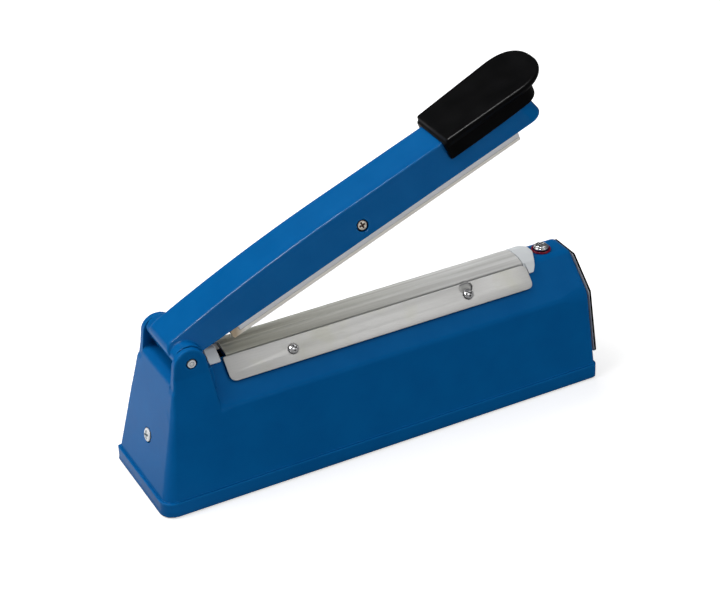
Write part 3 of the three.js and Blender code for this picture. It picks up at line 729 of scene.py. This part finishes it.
def housing_cuts(x, y, z):
    """Pin bores, plunger hole, wire slot, shaft hole, cord hole and the recessed end screw's hole."""
    stem_hole, ring_hole, cord_hole, under_deck = 0.0023, 0.0057, 0.0058, 0.08
    yield np.hypot(x - PIN.x, z - PIN.z) - PIN_HOLE - 0.0002
    stem = np.hypot(x - PLUNGER_X, y)
    yield np.maximum(stem - stem_hole, under_deck - z)
    yield np.maximum(stem - ring_hole, 0.0858 - z)
    slot = round_max(0.001, np.abs(x + 0.1009) - 0.0021, np.abs(y) - 0.0085)
    yield np.maximum(slot, under_deck - z)
    yield np.maximum(np.hypot(y, z - KNOB_Z) - SHAFT_HOLE, 0.15 - x)
    yield np.maximum(np.hypot(x - CORD_X, z - CORD_Z) - cord_hole, 0.03 - y)
    bore = np.hypot(y, z - END_SCREW_Z)
    depth = x - LEFT_FACE_X
    seat = np.maximum(bore - END_SCREW_RADIUS - 0.0005, depth - 0.0011)
    yield np.minimum(seat, np.maximum(bore - 0.0016, depth - 0.009))


def build_case():
    grid = (
        spaced((-0.1628, -0.096, 0.0009), (-0.096, 0.112, 0.004), (0.112, 0.1628, 0.0009)),
        spaced((-0.0414, 0.0414, 0.0009)),
        spaced((-0.0012, 0.114, 0.0009)),
    )
    add_piece("body_housing", surface(housing, *grid), "base", BLUE)


# ---------- the lever ----------
def arm_top(s):
    """The lever's top is a gentle arch that levels out half way along."""
    return ARM_TOP - 0.0059 * np.maximum(0, (0.125 - s) / 0.111) ** 2


def arm_outline(s, y, h):
    top = arm_top(s)
    half = ARM_LOW_HALF + (ARM_TOP_HALF - ARM_LOW_HALF) * (h - ARM_LOW) / (top - ARM_LOW)
    side = 0.957 * (np.abs(y) - half)
    nose = beyond(s, h, (ARM_NOSE, ARM_LOW), (0.2702, ARM_TOP))
    heel = beyond(s, h, (ARM_TAIL, 0.005), (-0.0045, ARM_LOW))
    back = round_max(0.006, h - top, ARM_TAIL - s)
    return round_max(0.001, np.maximum(back, heel), round_max(0.011, side, nose))


def arm_shell(s, y, h):
    across = np.abs(y)
    outline = arm_outline(s, y, h)
    shell = round_max(0.0006, outline, -(outline + ARM_WALL), ARM_LOW - h)
    from_pin = np.hypot(s, h)
    lug, lug_inner, lug_outer = 0.0072, 0.016, 0.0198
    web = np.maximum(np.abs(s) - lug, np.abs(h - 0.002) - 0.002)
    heel = sharp_max(s + 0.001, -0.008 - s, h, -0.007 - h)
    lug = sharp_min(from_pin - lug, heel, web)
    lug = round_max(0.0008, lug, across - lug_outer, lug_inner - across)
    boss = sharp_max(np.hypot(s - 0.2662, y) - 0.0042, -0.0067 - h, h - 0.0185)
    cheek = round_max(0.0012, from_pin - ARM_BOSS_RADIUS, ARM_TAIL - s, ARM_LOW - h)
    cheek = round_max(0.0002, cheek, across - EAR_INNER + 0.0001)
    cheek = sharp_max(cheek, -(outline + 0.001), np.minimum(across - 0.0199, 0.0064 - from_pin))
    shell = round_min(0.0008, shell, lug, boss)
    shell = round_min(0.0005, shell, cheek)
    bore = np.hypot(s - ARM_SCREW[0], h - ARM_SCREW[1])
    for cut in (from_pin - PIN_HOLE, np.maximum(bore - 0.0039, 0.0156 - across), bore - 0.0017):
        shell = round_max(0.0003, shell, -cut)
    return shell


def grip_outline(s, y):
    """Distance outside the grip's plan: widening forward, then a full rounded end."""
    across = np.abs(y)
    share = (s - GRIP_START) / (GRIP_BEND - GRIP_START)
    half = GRIP_REAR_HALF + (GRIP_FRONT_HALF - GRIP_REAR_HALF) * share
    nose = np.maximum(s - GRIP_BEND, 0) / (GRIP_END - GRIP_BEND)
    power = 2.4
    reach = (nose**power + (across / GRIP_FRONT_HALF) ** power) ** (1 / power)
    return np.where(s < GRIP_BEND, across - half, (reach - 1) * GRIP_FRONT_HALF)


def grip_shape(s, y, h):
    across = np.abs(y)
    share = (s - GRIP_START) / (GRIP_END - GRIP_START)
    top = GRIP_REAR_TOP + (GRIP_FRONT_TOP - GRIP_REAR_TOP) * share
    depth = np.maximum(top - h - 0.0015, 0)
    plan = grip_outline(s, y) + 0.0028 * (depth / 0.005) ** 2
    cap = round_max(0.0015, plan, h - top, GRIP_START - s, top - 0.0075 - h)
    half = 0.0192 - 0.001 * (h - 0.0097) / 0.0123
    low = 0.0095 + 0.0026 * ramp(s, 0.207, 0.2785) ** 2
    skirt = round_max(0.011, across - half, s - 0.2785)
    skirt = round_max(0.0009, skirt, 0.2071 - s, low - h, h - 0.0225)
    body = round_min(0.0022, cap, skirt)
    return round_max(0.0004, body, -(arm_outline(s, y, h) - 0.0003))


def build_lever():
    place = lever_place()
    grid = (
        spaced((-0.0112, 0.02, 0.0008), (0.02, 0.128, 0.002), (0.128, 0.146, 0.0008),
               (0.146, 0.25, 0.004), (0.25, 0.279, 0.0008)),
        spaced((-0.0228, 0.0228, 0.0008)),
        spaced((-0.0088, 0.0222, 0.0008)),
    )
    add_piece("lever_arm", surface(arm_shell, *grid), "lever", BLUE, place)
    grid = even_grid(0.0007, (0.2045, 0.292), (-0.0245, 0.0245), (0.0078, 0.0306))
    add_piece("grip", surface(grip_shape, *grid), "lever", BLACK, place)
    build_presser()


def prism(section, start, end, bevel):
    """A bar along x with the closed (y, z) section, its ends bevelled."""
    section = np.asarray(section)
    centre = section.mean(axis=0)
    size = np.ptp(section, axis=0)
    rings = []
    for x, inset in ((start, bevel), (start + bevel, 0), (end - bevel, 0), (end, bevel)):
        scaled = centre + (section - centre) * (1 - 2 * inset / size)
        rings.append(np.column_stack([np.full(len(section), x), scaled]))
    return loft(rings)


def build_presser():
    """The bar, and under it the pad, whose rear end is turned up over the bar's end."""
    place = lever_place()
    half, top, bottom = PRESSER_HALF, -0.0023, -0.006
    bar = filleted([(-half, bottom), (half, bottom), (half, top), (-half, top)], 0.0005, 3, True)
    bar = prism(bar, PRESSER_START, PRESSER_END, 0.0003)
    add_piece("presser_bar", bar, "lever", ALUMINIUM, place)
    rear, inner = 0.0318, PRESSER_START - 0.0003
    profile = [(rear, -0.0093), (PRESSER_END, -0.0088), (PRESSER_END, -0.0062), (inner, -0.0062),
               (inner, -0.0024), (rear, -0.0024)]
    profile = filleted(profile, [0.0012, 0.0008, 0.0004, 0.0002, 0.0006, 0.0009], 4, True)
    middle = np.where(profile[:, 1] > -0.0061, -0.0042, -0.0077)
    rings = []
    edge = 0.0004
    for y, inset in ((PAD_HALF, edge), (PAD_HALF - edge, 0), (edge - PAD_HALF, 0), (-PAD_HALF, edge)):
        shrunk = middle + (profile[:, 1] - middle) * (1 - inset / 0.0016)
        rings.append(np.column_stack([profile[:, 0], np.full(len(profile), y), shrunk]))
    add_piece("silicone_pad", loft(rings), "lever", SILICONE, place)


# ---------- the sealing bar and its cover ----------
def cloth_section():
    """(y, z) pairs over the bar from one side to the other: foot, slope, heating ridge."""
    half = [
        on_slope(0.0246, 0.0003),
        on_slope(0.0305, 0.0003),
        (0.0102, 0.0878),
        (0.0048, CLOTH_TOP - 0.0005),
        (0.0022, CLOTH_TOP - 0.00035),
        (0.0016, CLOTH_TOP),
    ]
    whole = half + [(-y, z) for y, z in reversed(half)]
    radii = [0, 0.0003, 0.0004, 0.0008, 0.0006, 0.0004, 0.0004, 0.0006, 0.0008, 0.0004, 0.0003, 0]
    return filleted(whole, radii, 4)


def build_cloth():
    """The cover is lofted along the bar with slight slack, and given its thickness."""
    section = cloth_section()
    tangent = np.gradient(section, axis=0)
    tangent /= np.linalg.norm(tangent, axis=1)[:, None]
    outward = np.stack([tangent[:, 1], -tangent[:, 0]], axis=1)
    thickness = 0.00022
    rings = []
    for x in np.linspace(BAR_START, BAR_END, 110):
        slack = 0.00005 * np.sin(x * 260 + 14 * section[:, :1] / 0.01) * np.sin(x * 90 + 1)
        outer = section + outward * (slack + thickness / 2)
        inner = section + outward * (slack - thickness / 2)
        loop = np.concatenate([outer, inner[::-1]])
        rings.append(np.column_stack([np.full(len(loop), x), loop]))
    add_piece("cloth_cover", loft(rings), "base", CLOTH, crease=50)


def build_bar():
    outline = [(-0.0096, 0.0869), (0.0096, 0.0869), (0.0094, 0.0871), (0.0045, 0.0889),
               (-0.0045, 0.0889), (-0.0094, 0.0871)]
    outline = filleted(outline, [0, 0, 0, 0.0008, 0.0008, 0], 4, True)
    bar = prism(outline, BAR_START + 0.0002, BAR_END - 0.0002, 0.0002)
    add_piece("seal_bar", bar, "base", ALUMINIUM)
    build_cloth()


def saddle(x, y, z, start, end, wing, top):
    """Field of a roof-shaped block astride the deck, its wings reaching down the slopes."""
    across = np.abs(y)
    out = beyond(across, z, SHOULDER, DECK_EDGE)
    low = beyond(across, z, on_slope(wing, 0), on_slope(wing, 0.01))
    roof = beyond(across, z, (0.0113, 0.0877), (0.005, top))
    shell = round_max(0.0005, out - 0.0018, z - top, roof, low, x - end, start - x)
    under = np.maximum(out - 0.0003, z - DECK_Z - 0.0003)
    return round_max(0.0002, shell, -under)


def block_left(x, y, z):
    return saddle(x, y, z, -0.1112, -0.1032, 0.0286, 0.092)


def block_right(x, y, z):
    """Its lower outer corners are cut off, and its wings leave room for the shields."""
    across = np.abs(y)
    up = (SHOULDER[0] - across) * math.cos(SLOPE_ANGLE) + (z - SHOULDER[1]) * math.sin(SLOPE_ANGLE)
    cut = beyond(x, up, (0.1206, 0.02), (0.1285, 0.0325))
    out = beyond(across, z, SHOULDER, DECK_EDGE)
    room = sharp_max(0.0009 - out, up - 0.0312, x - 0.1194)
    point = (x - 0.1313 + 0.42 * across) / 1.085
    shape = saddle(x, y, z, 0.1178, 0.1302, 0.024, 0.0898)
    return round_max(0.0003, shape, cut, point, -room)


def build_blocks():
    for name, field, start, end in (
        ("end_block_left", block_left, -0.1125, -0.1020),
        ("end_block_right", block_right, 0.1165, 0.1317),
    ):
        grid = even_grid(0.0004, (start, end), (-0.019, 0.019), (0.078, 0.0935))
        add_piece(name, surface(field, *grid), "base", WHITE)


# ---------- shields and screws ----------
def shield_outline(low, high, mirror):
    corners = [(SHIELD_START, low), (SHIELD_END, low), (SHIELD_END, high), (SHIELD_START, high)]
    outline = filleted(corners, [0.005, 0.005, 0.0048, 0.0012], 8, True)
    if mirror:
        outline = (outline * [-1, 1])[::-1]
    return outline


def keyhole(x, y):
    """A wide oval hole for the screw's head to pass, with a slot down to the screw."""
    wide, high, narrow, gap = 0.0049, 0.0038, 0.0017, 0.0046
    lean = math.asin(narrow / wide)
    head = [math.pi * 1.5 + lean + (2 * math.pi - 2 * lean) * k / 28 for k in range(29)]
    foot = [math.pi + math.pi * k / 10 for k in range(11)]
    loop = [(x + wide * math.cos(a), y + gap + high * math.sin(a)) for a in head]
    loop += [(x + narrow * math.cos(a), y + narrow * math.sin(a)) for a in foot]
    return np.array(loop)


def build_shields():
    for label, side, low, high, screws, lift, thick in (
        ("front", -1, 0.0138, 0.0307, 0.0226, 0.0011, 0.0012),
        ("rear", 1, 0.0095, 0.0266, 0.0175, 0.00085, 0.001),
    ):
        plain, keyed = [(side * -x, screws) for x in SHIELD_SCREWS]
        holes = [circle(*plain, 0.0017), keyhole(*keyed) if side < 0 else circle(*keyed, 0.0017)]
        plate = sheet(shield_outline(low, high, side > 0), holes, thick, 0.0002)
        place = slope_place(side, out=lift)
        weld(add_piece(f"shield_plate_{label}", plate, "base", STEEL, place))
        for number, (x, up) in enumerate((plain, keyed), 1):
            place = slope_place(side, x, up, lift + thick + 0.0001)
            add_screw(f"shield_screw_{label}_{number}", "base", place, CHROME, 0.0035, 0.0021)


def screw_field(radius, height, crown):
    """A head on z = 0 with a cross recess, on its shank; the bigger the crown, the flatter it is."""

    def field(x, y, z):
        reach = np.hypot(x, y)
        dome = np.sqrt(x**2 + y**2 + (z - height + crown * radius) ** 2) - crown * radius
        head = round_max(0.28 * height, reach - radius, dome, -z)
        arm = 0.14 * radius + 0.12 * np.maximum(z - 0.4 * height, 0)
        cross = np.maximum(np.minimum(np.abs(x), np.abs(y)) - arm, reach - 0.64 * radius)
        cross = np.maximum(cross, 0.1 * height - z + 0.25 * reach)
        head = round_max(0.00008, head, -cross)
        shank = sharp_max(reach - 0.45 * radius, z - 0.2 * height, -2.2 * radius - z)
        return np.minimum(head, shank)

    return field


def add_screw(name, body, place, material, radius, height, crown=2.0):
    step = radius / 22
    across = spaced((-1.1 * radius, 1.1 * radius, step))
    along = spaced((-2.4 * radius, -0.0003, 5 * step), (-0.0003, height + 0.0003, step))
    screw = surface(screw_field(radius, height, crown), across, across, along)
    add_piece(name, screw, body, material, place)


def build_screws():
    tilt = math.atan2(LEFT_SHOULDER[0] - LEFT_LOW[0], LEFT_SHOULDER[1] - LEFT_LOW[1])
    place = end_place(LEFT_FACE_X + 0.0006, 0, END_SCREW_Z, -1)
    place = place @ Matrix.Rotation(-tilt, 4, "X") @ Matrix.Rotation(math.radians(18), 4, "Z")
    add_screw("end_screw", "base", place, ZINC, END_SCREW_RADIUS, 0.0019, 3.0)
    for label, side in (("front", -1), ("rear", 1)):
        place = lever_place(ARM_SCREW[0], side * 0.0158, ARM_SCREW[1])
        place = place @ Matrix.Rotation(-side * math.radians(73), 4, "X")
        add_screw(f"arm_screw_{label}", "lever", place, BRASS, 0.0033, 0.0017, 5.0)


# ---------- hinge ----------
def across_place(y, side):
    """Frame at the hinge pin whose z axis points out of the front (-1) or rear (1)."""
    return axes_matrix((PIN.x, y, PIN.z), (1, 0, 0), (0, 0, -side), (0, side, 0))


def build_hinge():
    half, tip, radius = 0.0273, PIN_END_RADIUS, 0.003
    end = [(0, half - 0.0002), (0.0012, half - 0.0002), (0.0014, half - 0.0004),
           (0.0017, half - 0.0001), (tip - 0.0003, half - 0.0001), (tip, half - 0.0004),
           (tip, half - 0.0045), (radius, half - 0.0048)]
    profile = [(r, -z) for r, z in end] + [(r, z) for r, z in reversed(end)]
    add_piece("hinge_pin", turned(profile, 40), "base", ZINC, across_place(0, 1))
    outer, thick = 0.006, 0.0016
    section = [(PIN_HOLE, 0), (outer, 0), (outer, thick), (PIN_HOLE, thick)]
    washer = hoop(filleted(section, 0.0003, 3, True))
    for label, side in (("front", -1), ("rear", 1)):
        add_piece(f"hinge_washer_{label}", washer, "base", WHITE, across_place(side * 0.0204, side))


def build_springs():
    for name, joint, radius, wire, turns, keep in (
        ("lift_spring", "lever_hinge", 0.0034, 0.0006, 7.5, 0.86),
        ("plunger_spring", "switch_press", 0.0029, 0.00035, 5.5, 0.7),
    ):
        low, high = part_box(name)
        place = Matrix.Translation(((low.x + high.x) / 2, 0, 0))
        wound = coil(radius, wire, low.z, high.z, turns)
        spring = add_piece(name, wound, "base", CHROME, place, crease=None)
        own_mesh(spring)


# ---------- plunger, lamp, timer and cord ----------
def plunger_field(x, y, z):
    """The plunger's bright head: a flange under a domed screw head with a cross recess, on a stem."""
    low, high = 0.0881, 0.0916
    reach = np.hypot(x, y)
    flange = round_max(0.0004, reach - 0.0052, low - z, z - low - 0.0013)
    dome = np.sqrt(reach**2 + (z - high + 0.0075) ** 2) - 0.0075
    head = round_max(0.0007, reach - 0.0043, dome, low + 0.0006 - z)
    cap = round_min(0.0004, head, flange)
    cross = np.maximum(np.minimum(np.abs(x), np.abs(y)) - 0.0007, reach - 0.0029)
    cross = np.maximum(cross, high - 0.0018 + 0.3 * reach - z)
    cap = round_max(0.00012, cap, -cross)
    return np.minimum(cap, sharp_max(reach - 0.002, z - low - 0.001, 0.0741 - z))


def build_plunger():
    across = spaced((-0.0056, 0.0056, 0.00018))
    along = spaced((0.0738, 0.0876, 0.0009), (0.0876, 0.092, 0.00018))
    place = Matrix.Translation(ORIGIN + Vector((PLUNGER_X, 0, 0)))
    head = surface(plunger_field, across, across, along)
    turn = Matrix.Rotation(math.radians(30), 4, "Z")
    add_piece("switch_plunger", head, "plunger", CHROME, place @ turn)
    section = [(0.0055, 0.08605), (0.0067, 0.08675), (0.0067, 0.0878), (0.0055, 0.0878)]
    ring = hoop(filleted(section, [0.0001, 0.0001, 0.0006, 0.0003], 6, True))
    add_piece("lamp_ring", ring, "base", RED, place, crease=60)


def build_panel():
    """The black sheet on the end, a thin pale one behind it, and the dial printed on its face."""
    backing, black = 0.0002, 0.0015
    corners = [(0.0366, 0.0183), (0.0311, 0.0636), (0.0116, 0.0834)]
    outline = corners + [(-y, z) for y, z in reversed(corners)]
    outline = filleted([(y, z - KNOB_Z) for y, z in outline], 0.002, 5, True)
    hole = [circle(0, 0, SHAFT_HOLE)]
    lean = math.atan2(RIGHT_LOW[0] - RIGHT_SHOULDER[0], RIGHT_SHOULDER[1] - RIGHT_LOW[1])
    place = end_place(RIGHT_FACE_X + 0.0002, 0, KNOB_Z, 1) @ Matrix.Rotation(-lean, 4, "X")
    thin = sheet(outline, hole, backing, 0.00005)
    weld(add_piece("panel_backing", thin, "base", ALUMINIUM, place, replaces=["control_panel"]))
    place = place @ Matrix.Translation((0, 0, backing))
    weld(add_piece("control_panel", sheet(outline, hole, black, 0.0001), "base", PANEL, place))
    build_dial(place @ Matrix.Translation((0, 0, black)))


def add_marks(name, points, faces, body, place):
    """Printed marks, as a piece of their own."""
    mesh = bpy.data.meshes.new(name)
    mesh.from_pydata([tuple(place @ Vector(point)) for point in points], [], faces)
    mesh.materials.append(INK)
    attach(new_object(name, mesh), body)


def build_dial(place):
    """Ticks and the numbers 1 to 8 printed round the knob."""
    ring, sweep, count = 0.0175, math.radians(270), 8
    stroke = [(-0.00022, 0), (0.00022, 0), (0.00022, 0.00009), (-0.00022, 0.00009)]
    tick = prism(filleted(stroke, 0.00003, 2, True), 0.0122, 0.0144, 0.00003)
    points, faces = [], []
    for number in range(count):
        angle = math.radians(225) - number * sweep / (count - 1)
        curve = bpy.data.curves.new("number", "FONT")
        curve.body = str(number + 1)
        curve.size = 0.0052
        curve.align_x = "CENTER"
        curve.align_y = "CENTER"
        curve.extrude = 0.00004
        shift = Matrix.Translation((ring * math.cos(angle), ring * math.sin(angle), 0.00005))
        for (more, sides), move in ((drawn(curve), shift), (tick, Matrix.Rotation(angle, 4, "Z"))):
            faces += [tuple(len(points) + i for i in side) for side in sides]
            points += [tuple(move @ Vector(point)) for point in more]
    add_marks("dial_marks", points, faces, "base", place)


def build_knob():
    """The fluted knob and the pointer on its face."""
    low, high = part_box("timer_knob")
    back = Vector((low.x, 0, (low.z + high.z) / 2))
    depth = high.x - low.x
    profile = [(0, 0.0003), (0.0085, 0.0003), (0.0098, 0.0005), (0.011, 0.0009), (0.011, 0.0018),
               (0.0102, 0.0026), (0.0098, depth - 0.0018), (0.0093, depth - 0.0006),
               (0.0083, depth - 0.0001), (0.0074, depth - 0.0002), (0.0066, depth - 0.0007),
               (0, depth - 0.0008)]
    knob = turned(filleted(profile, 0.0004, 3), 140, 14, 0.0009)
    place = axes_matrix(back - ORIGIN, (0, 1, 0), (0, 0, 1), (1, 0, 0))
    add_piece("timer_knob", knob, "knob", BLACK, place, crease=40)
    bar = filleted([(-0.0007, 0), (0.0007, 0), (0.0007, 0.0006), (-0.0007, 0.0006)], 0.0002, 2, True)
    mark = Matrix.Translation((0, 0, depth - 0.0012)) @ Matrix.Rotation(math.pi / 2, 4, "Z")
    add_marks("knob_pointer", *prism(bar, 0.0012, 0.0072, 0.0002), "knob", place @ mark)


def build_cord():
    rear = axes_matrix((CORD_X, 0, CORD_Z), (1, 0, 0), (0, 0, -1), (0, 1, 0))
    section = [(0.0032, 0.0325), (0.0055, 0.0325), (0.0055, 0.0382), (0.007, 0.0382),
               (0.007, 0.0395), (0.0032, 0.0395)]
    add_piece("cord_bush", hoop(filleted(section, 0.0004, 3, True)), "base", BLACK, rear)
    cord = [(0, 0.014), (0.003, 0.014), (0.003, 0.0397), (0, 0.0397)]
    add_piece("power_cord", turned(filleted(cord, 0.0005, 4), 32), "base", RUBBER, rear)


def build_feet():
    for number in range(1, 5):
        low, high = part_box(f"rubber_foot_{number}")
        height = high.z - low.z
        foot = turned(filleted([(0, 0), (0.0066, 0), (0.007, height), (0, height)], 0.0004, 4), 40)
        place = Matrix.Translation(((low.x + high.x) / 2, (low.y + high.y) / 2, low.z))
        add_piece(f"rubber_foot_{number}", foot, "base", RUBBER, place)


def finish_cad_nodes():
    """Materials for the CAD pieces that stay as they are, most of them inside the case."""
    for material, names in (
        (BLACK, "base_plate board_relay micro_switch"),
        (BLUE, "board_capacitor"),
        (STEEL, "switch_bracket plunger_clip transformer_bracket"),
        (CHROME, "base_screw_1 base_screw_2 base_screw_3 base_screw_4 timer_shaft potentiometer_nut"),
        (CHROME, "transformer_screw_1 transformer_screw_2 grip_screw_1 grip_screw_2 terminal_left"),
        (new_material(core_steel, 1.0), "timer_potentiometer transformer_core"),
        (new_material(circuit_board), "timer_board"),
        (new_material(winding_tape), "transformer_coil"),
        (new_material(dark_nickel, 1.0), "heating_element"),
        (CLOTH, "under_tape"),
        (RED, "switch_button indicator_bulb"),
    ):
        for name in names.split():
            node = frame["nodes"][name]
            node.data.materials.clear()
            node.data.materials.append(material)


# ---------- studio ----------
def add_light(name, direction, distance, size, radiance, diffuse=True, glossy=True, only=()):
    """A soft panel facing the machine with the given brightness; it may light only some pieces."""
    light = bpy.data.lights.new(name, "AREA")
    light.shape = "RECTANGLE"
    light.size, light.size_y = size
    light.energy = radiance * math.pi * size[0] * size[1]
    lamp = new_object(name, light)
    away = Vector(direction).normalized()
    lamp.location = Vector((0, 0, 0.1)) + away * distance
    lamp.rotation_euler = away.to_track_quat("Z", "Y").to_euler()
    lamp.visible_camera = False
    lamp.visible_diffuse = diffuse
    lamp.visible_glossy = glossy
    if only:
        pieces = bpy.data.collections.new(name + "_pieces")
        for piece in only:
            pieces.objects.link(bpy.data.objects[piece + "_skin"])
        lamp.light_linking.receiver_collection = pieces


def by_ray(tree, camera, glossy, other):
    """One of three brightnesses, by the kind of ray that meets the surface."""
    path = add_node(tree, "ShaderNodeLightPath", {}).outputs
    unseen = add_node(tree, "ShaderNodeMix", {"Factor": path["Is Glossy Ray"], "A": other, "B": glossy})
    whole = {"Factor": path["Is Camera Ray"], "A": unseen.outputs[0], "B": camera}
    return add_node(tree, "ShaderNodeMix", whole).outputs[0]


def floor_material():
    """Pale to the camera. To other rays it is a studio sweep: bright behind the machine at the left."""
    material = bpy.data.materials.new("floor")
    material.use_nodes = True
    tree = material.node_tree
    shader = tree.nodes["Principled BSDF"]
    place = add_node(tree, "ShaderNodeNewGeometry", {}).outputs["Position"]
    left_rear = {0: place, 1: (-0.6, 0.8, 0)}
    toward = add_node(tree, "ShaderNodeVectorMath", left_rear, operation="DOT_PRODUCT")
    behind = spread(tree, toward.outputs["Value"], 0, 1, 0.0, 0.2)
    reflectance = by_ray(tree, 0.93, 0.0, spread(tree, behind, 0.03, 0.8, 0, 1))
    link(tree, reflectance, shader.inputs["Base Color"])
    link(tree, spread(tree, noise(tree, 30, 2), 0.88, 0.92), shader.inputs["Roughness"])
    shader.inputs["Specular IOR Level"].default_value = 0.0
    shader.inputs["Emission Color"].default_value = (1, 1, 1, 1)
    far = add_node(tree, "ShaderNodeVectorMath", {0: place}, operation="LENGTH").outputs["Value"]
    pale = spread(tree, far, 0.6, 1.0, 0.8, 2.2)
    mirrored = spread(tree, behind, 0.15, 1.1, 0, 1)
    glow = by_ray(tree, pale, mirrored, spread(tree, behind, 0.0, 0.3, 0, 1))
    link(tree, glow, shader.inputs["Emission Strength"])
    return material


def build_world():
    """White to the camera and dim to matt surfaces; shiny ones see a bright wall in front."""
    world = bpy.data.worlds.new("world")
    bpy.context.scene.world = world
    world.use_nodes = True
    tree = world.node_tree
    ahead = add_node(tree, "ShaderNodeTexCoord", {}).outputs["Generated"]
    depth = add_node(tree, "ShaderNodeSeparateXYZ", {"Vector": ahead}).outputs["Y"]
    wall = spread(tree, depth, 0.25, 0.1, -0.55, 0.3)
    link(tree, by_ray(tree, 1.0, wall, 0.07), tree.nodes["Background"].inputs["Color"])


def build_studio():
    size = 6.0
    points = [(-size, -size, 0), (size, -size, 0), (size, size, 0), (-size, size, 0)]
    mesh = bpy.data.meshes.new("floor")
    mesh.from_pydata(points, [], [(0, 1, 2, 3)])
    mesh.materials.append(floor_material())
    new_object("floor", mesh)
    heads = [f"shield_screw_{label}_{number}" for label in ("front", "rear") for number in (1, 2)]
    heads += ["switch_plunger", "end_screw"]
    bright = ["shield_plate_front", "shield_plate_rear", "lamp_ring", *heads]
    pale = ["presser_bar", "silicone_pad", "hinge_pin", "arm_screw_front"]
    matt, shiny = {"glossy": False}, {"diffuse": False}
    add_light("key", (-0.57, 0.25, 0.78), 2.5, (2.0, 2.0), 3.4)
    add_light("fill", (0.05, -1.0, 0.12), 3.0, (2.0, 1.2), 3.8, **matt)
    add_light("shine", (0.4, -0.5, 0.76), 3.0, (2.2, 1.6), 1.3, **matt)
    add_light("top", (0.1, 0.62, 0.78), 2.5, (1.6, 1.6), 1.8, **matt)
    add_light("sheen", (0.42, -0.5, 0.75), 2.6, (2.0, 1.5), 1.3, **shiny, only=bright)
    add_light("sparkle", (-0.3, -0.34, 0.885), 2.5, (0.6, 0.4), 18, **shiny, only=heads)
    add_light("lift", (-0.1, -1.0, 0.1), 3.0, (2.0, 1.2), 1.6, **matt, only=pale)
    add_light("glint", (-0.32, -0.34, 0.885), 2.5, (0.2, 1.2), 260, **shiny, only=["lever_arm", "grip"])
    build_world()
    scene = bpy.context.scene
    scene.view_settings.view_transform = "Standard"
    scene.view_settings.look = "None"


def build_camera():
    azimuth, elevation, roll = math.radians(26.09), math.radians(31.29), math.radians(-2.72)
    camera = new_object("camera", bpy.data.cameras.new("camera"))
    camera.data.sensor_width = 36
    camera.data.lens = 104.69
    camera.data.clip_start, camera.data.clip_end = 0.05, 20
    turn = Matrix.Rotation(-azimuth, 4, "Z") @ Matrix.Rotation(math.pi / 2 - elevation, 4, "X")
    camera.matrix_world = turn @ Matrix.Rotation(roll, 4, "Z")
    camera.location = (-0.51258, -1.03962, 0.79483)
    bpy.context.scene.camera = camera


build_case()
build_lever()
build_bar()
build_blocks()
build_shields()
build_screws()
build_hinge()
build_springs()
build_plunger()
build_panel()
build_knob()
build_cord()
build_feet()
finish_cad_nodes()
build_studio()
build_camera()
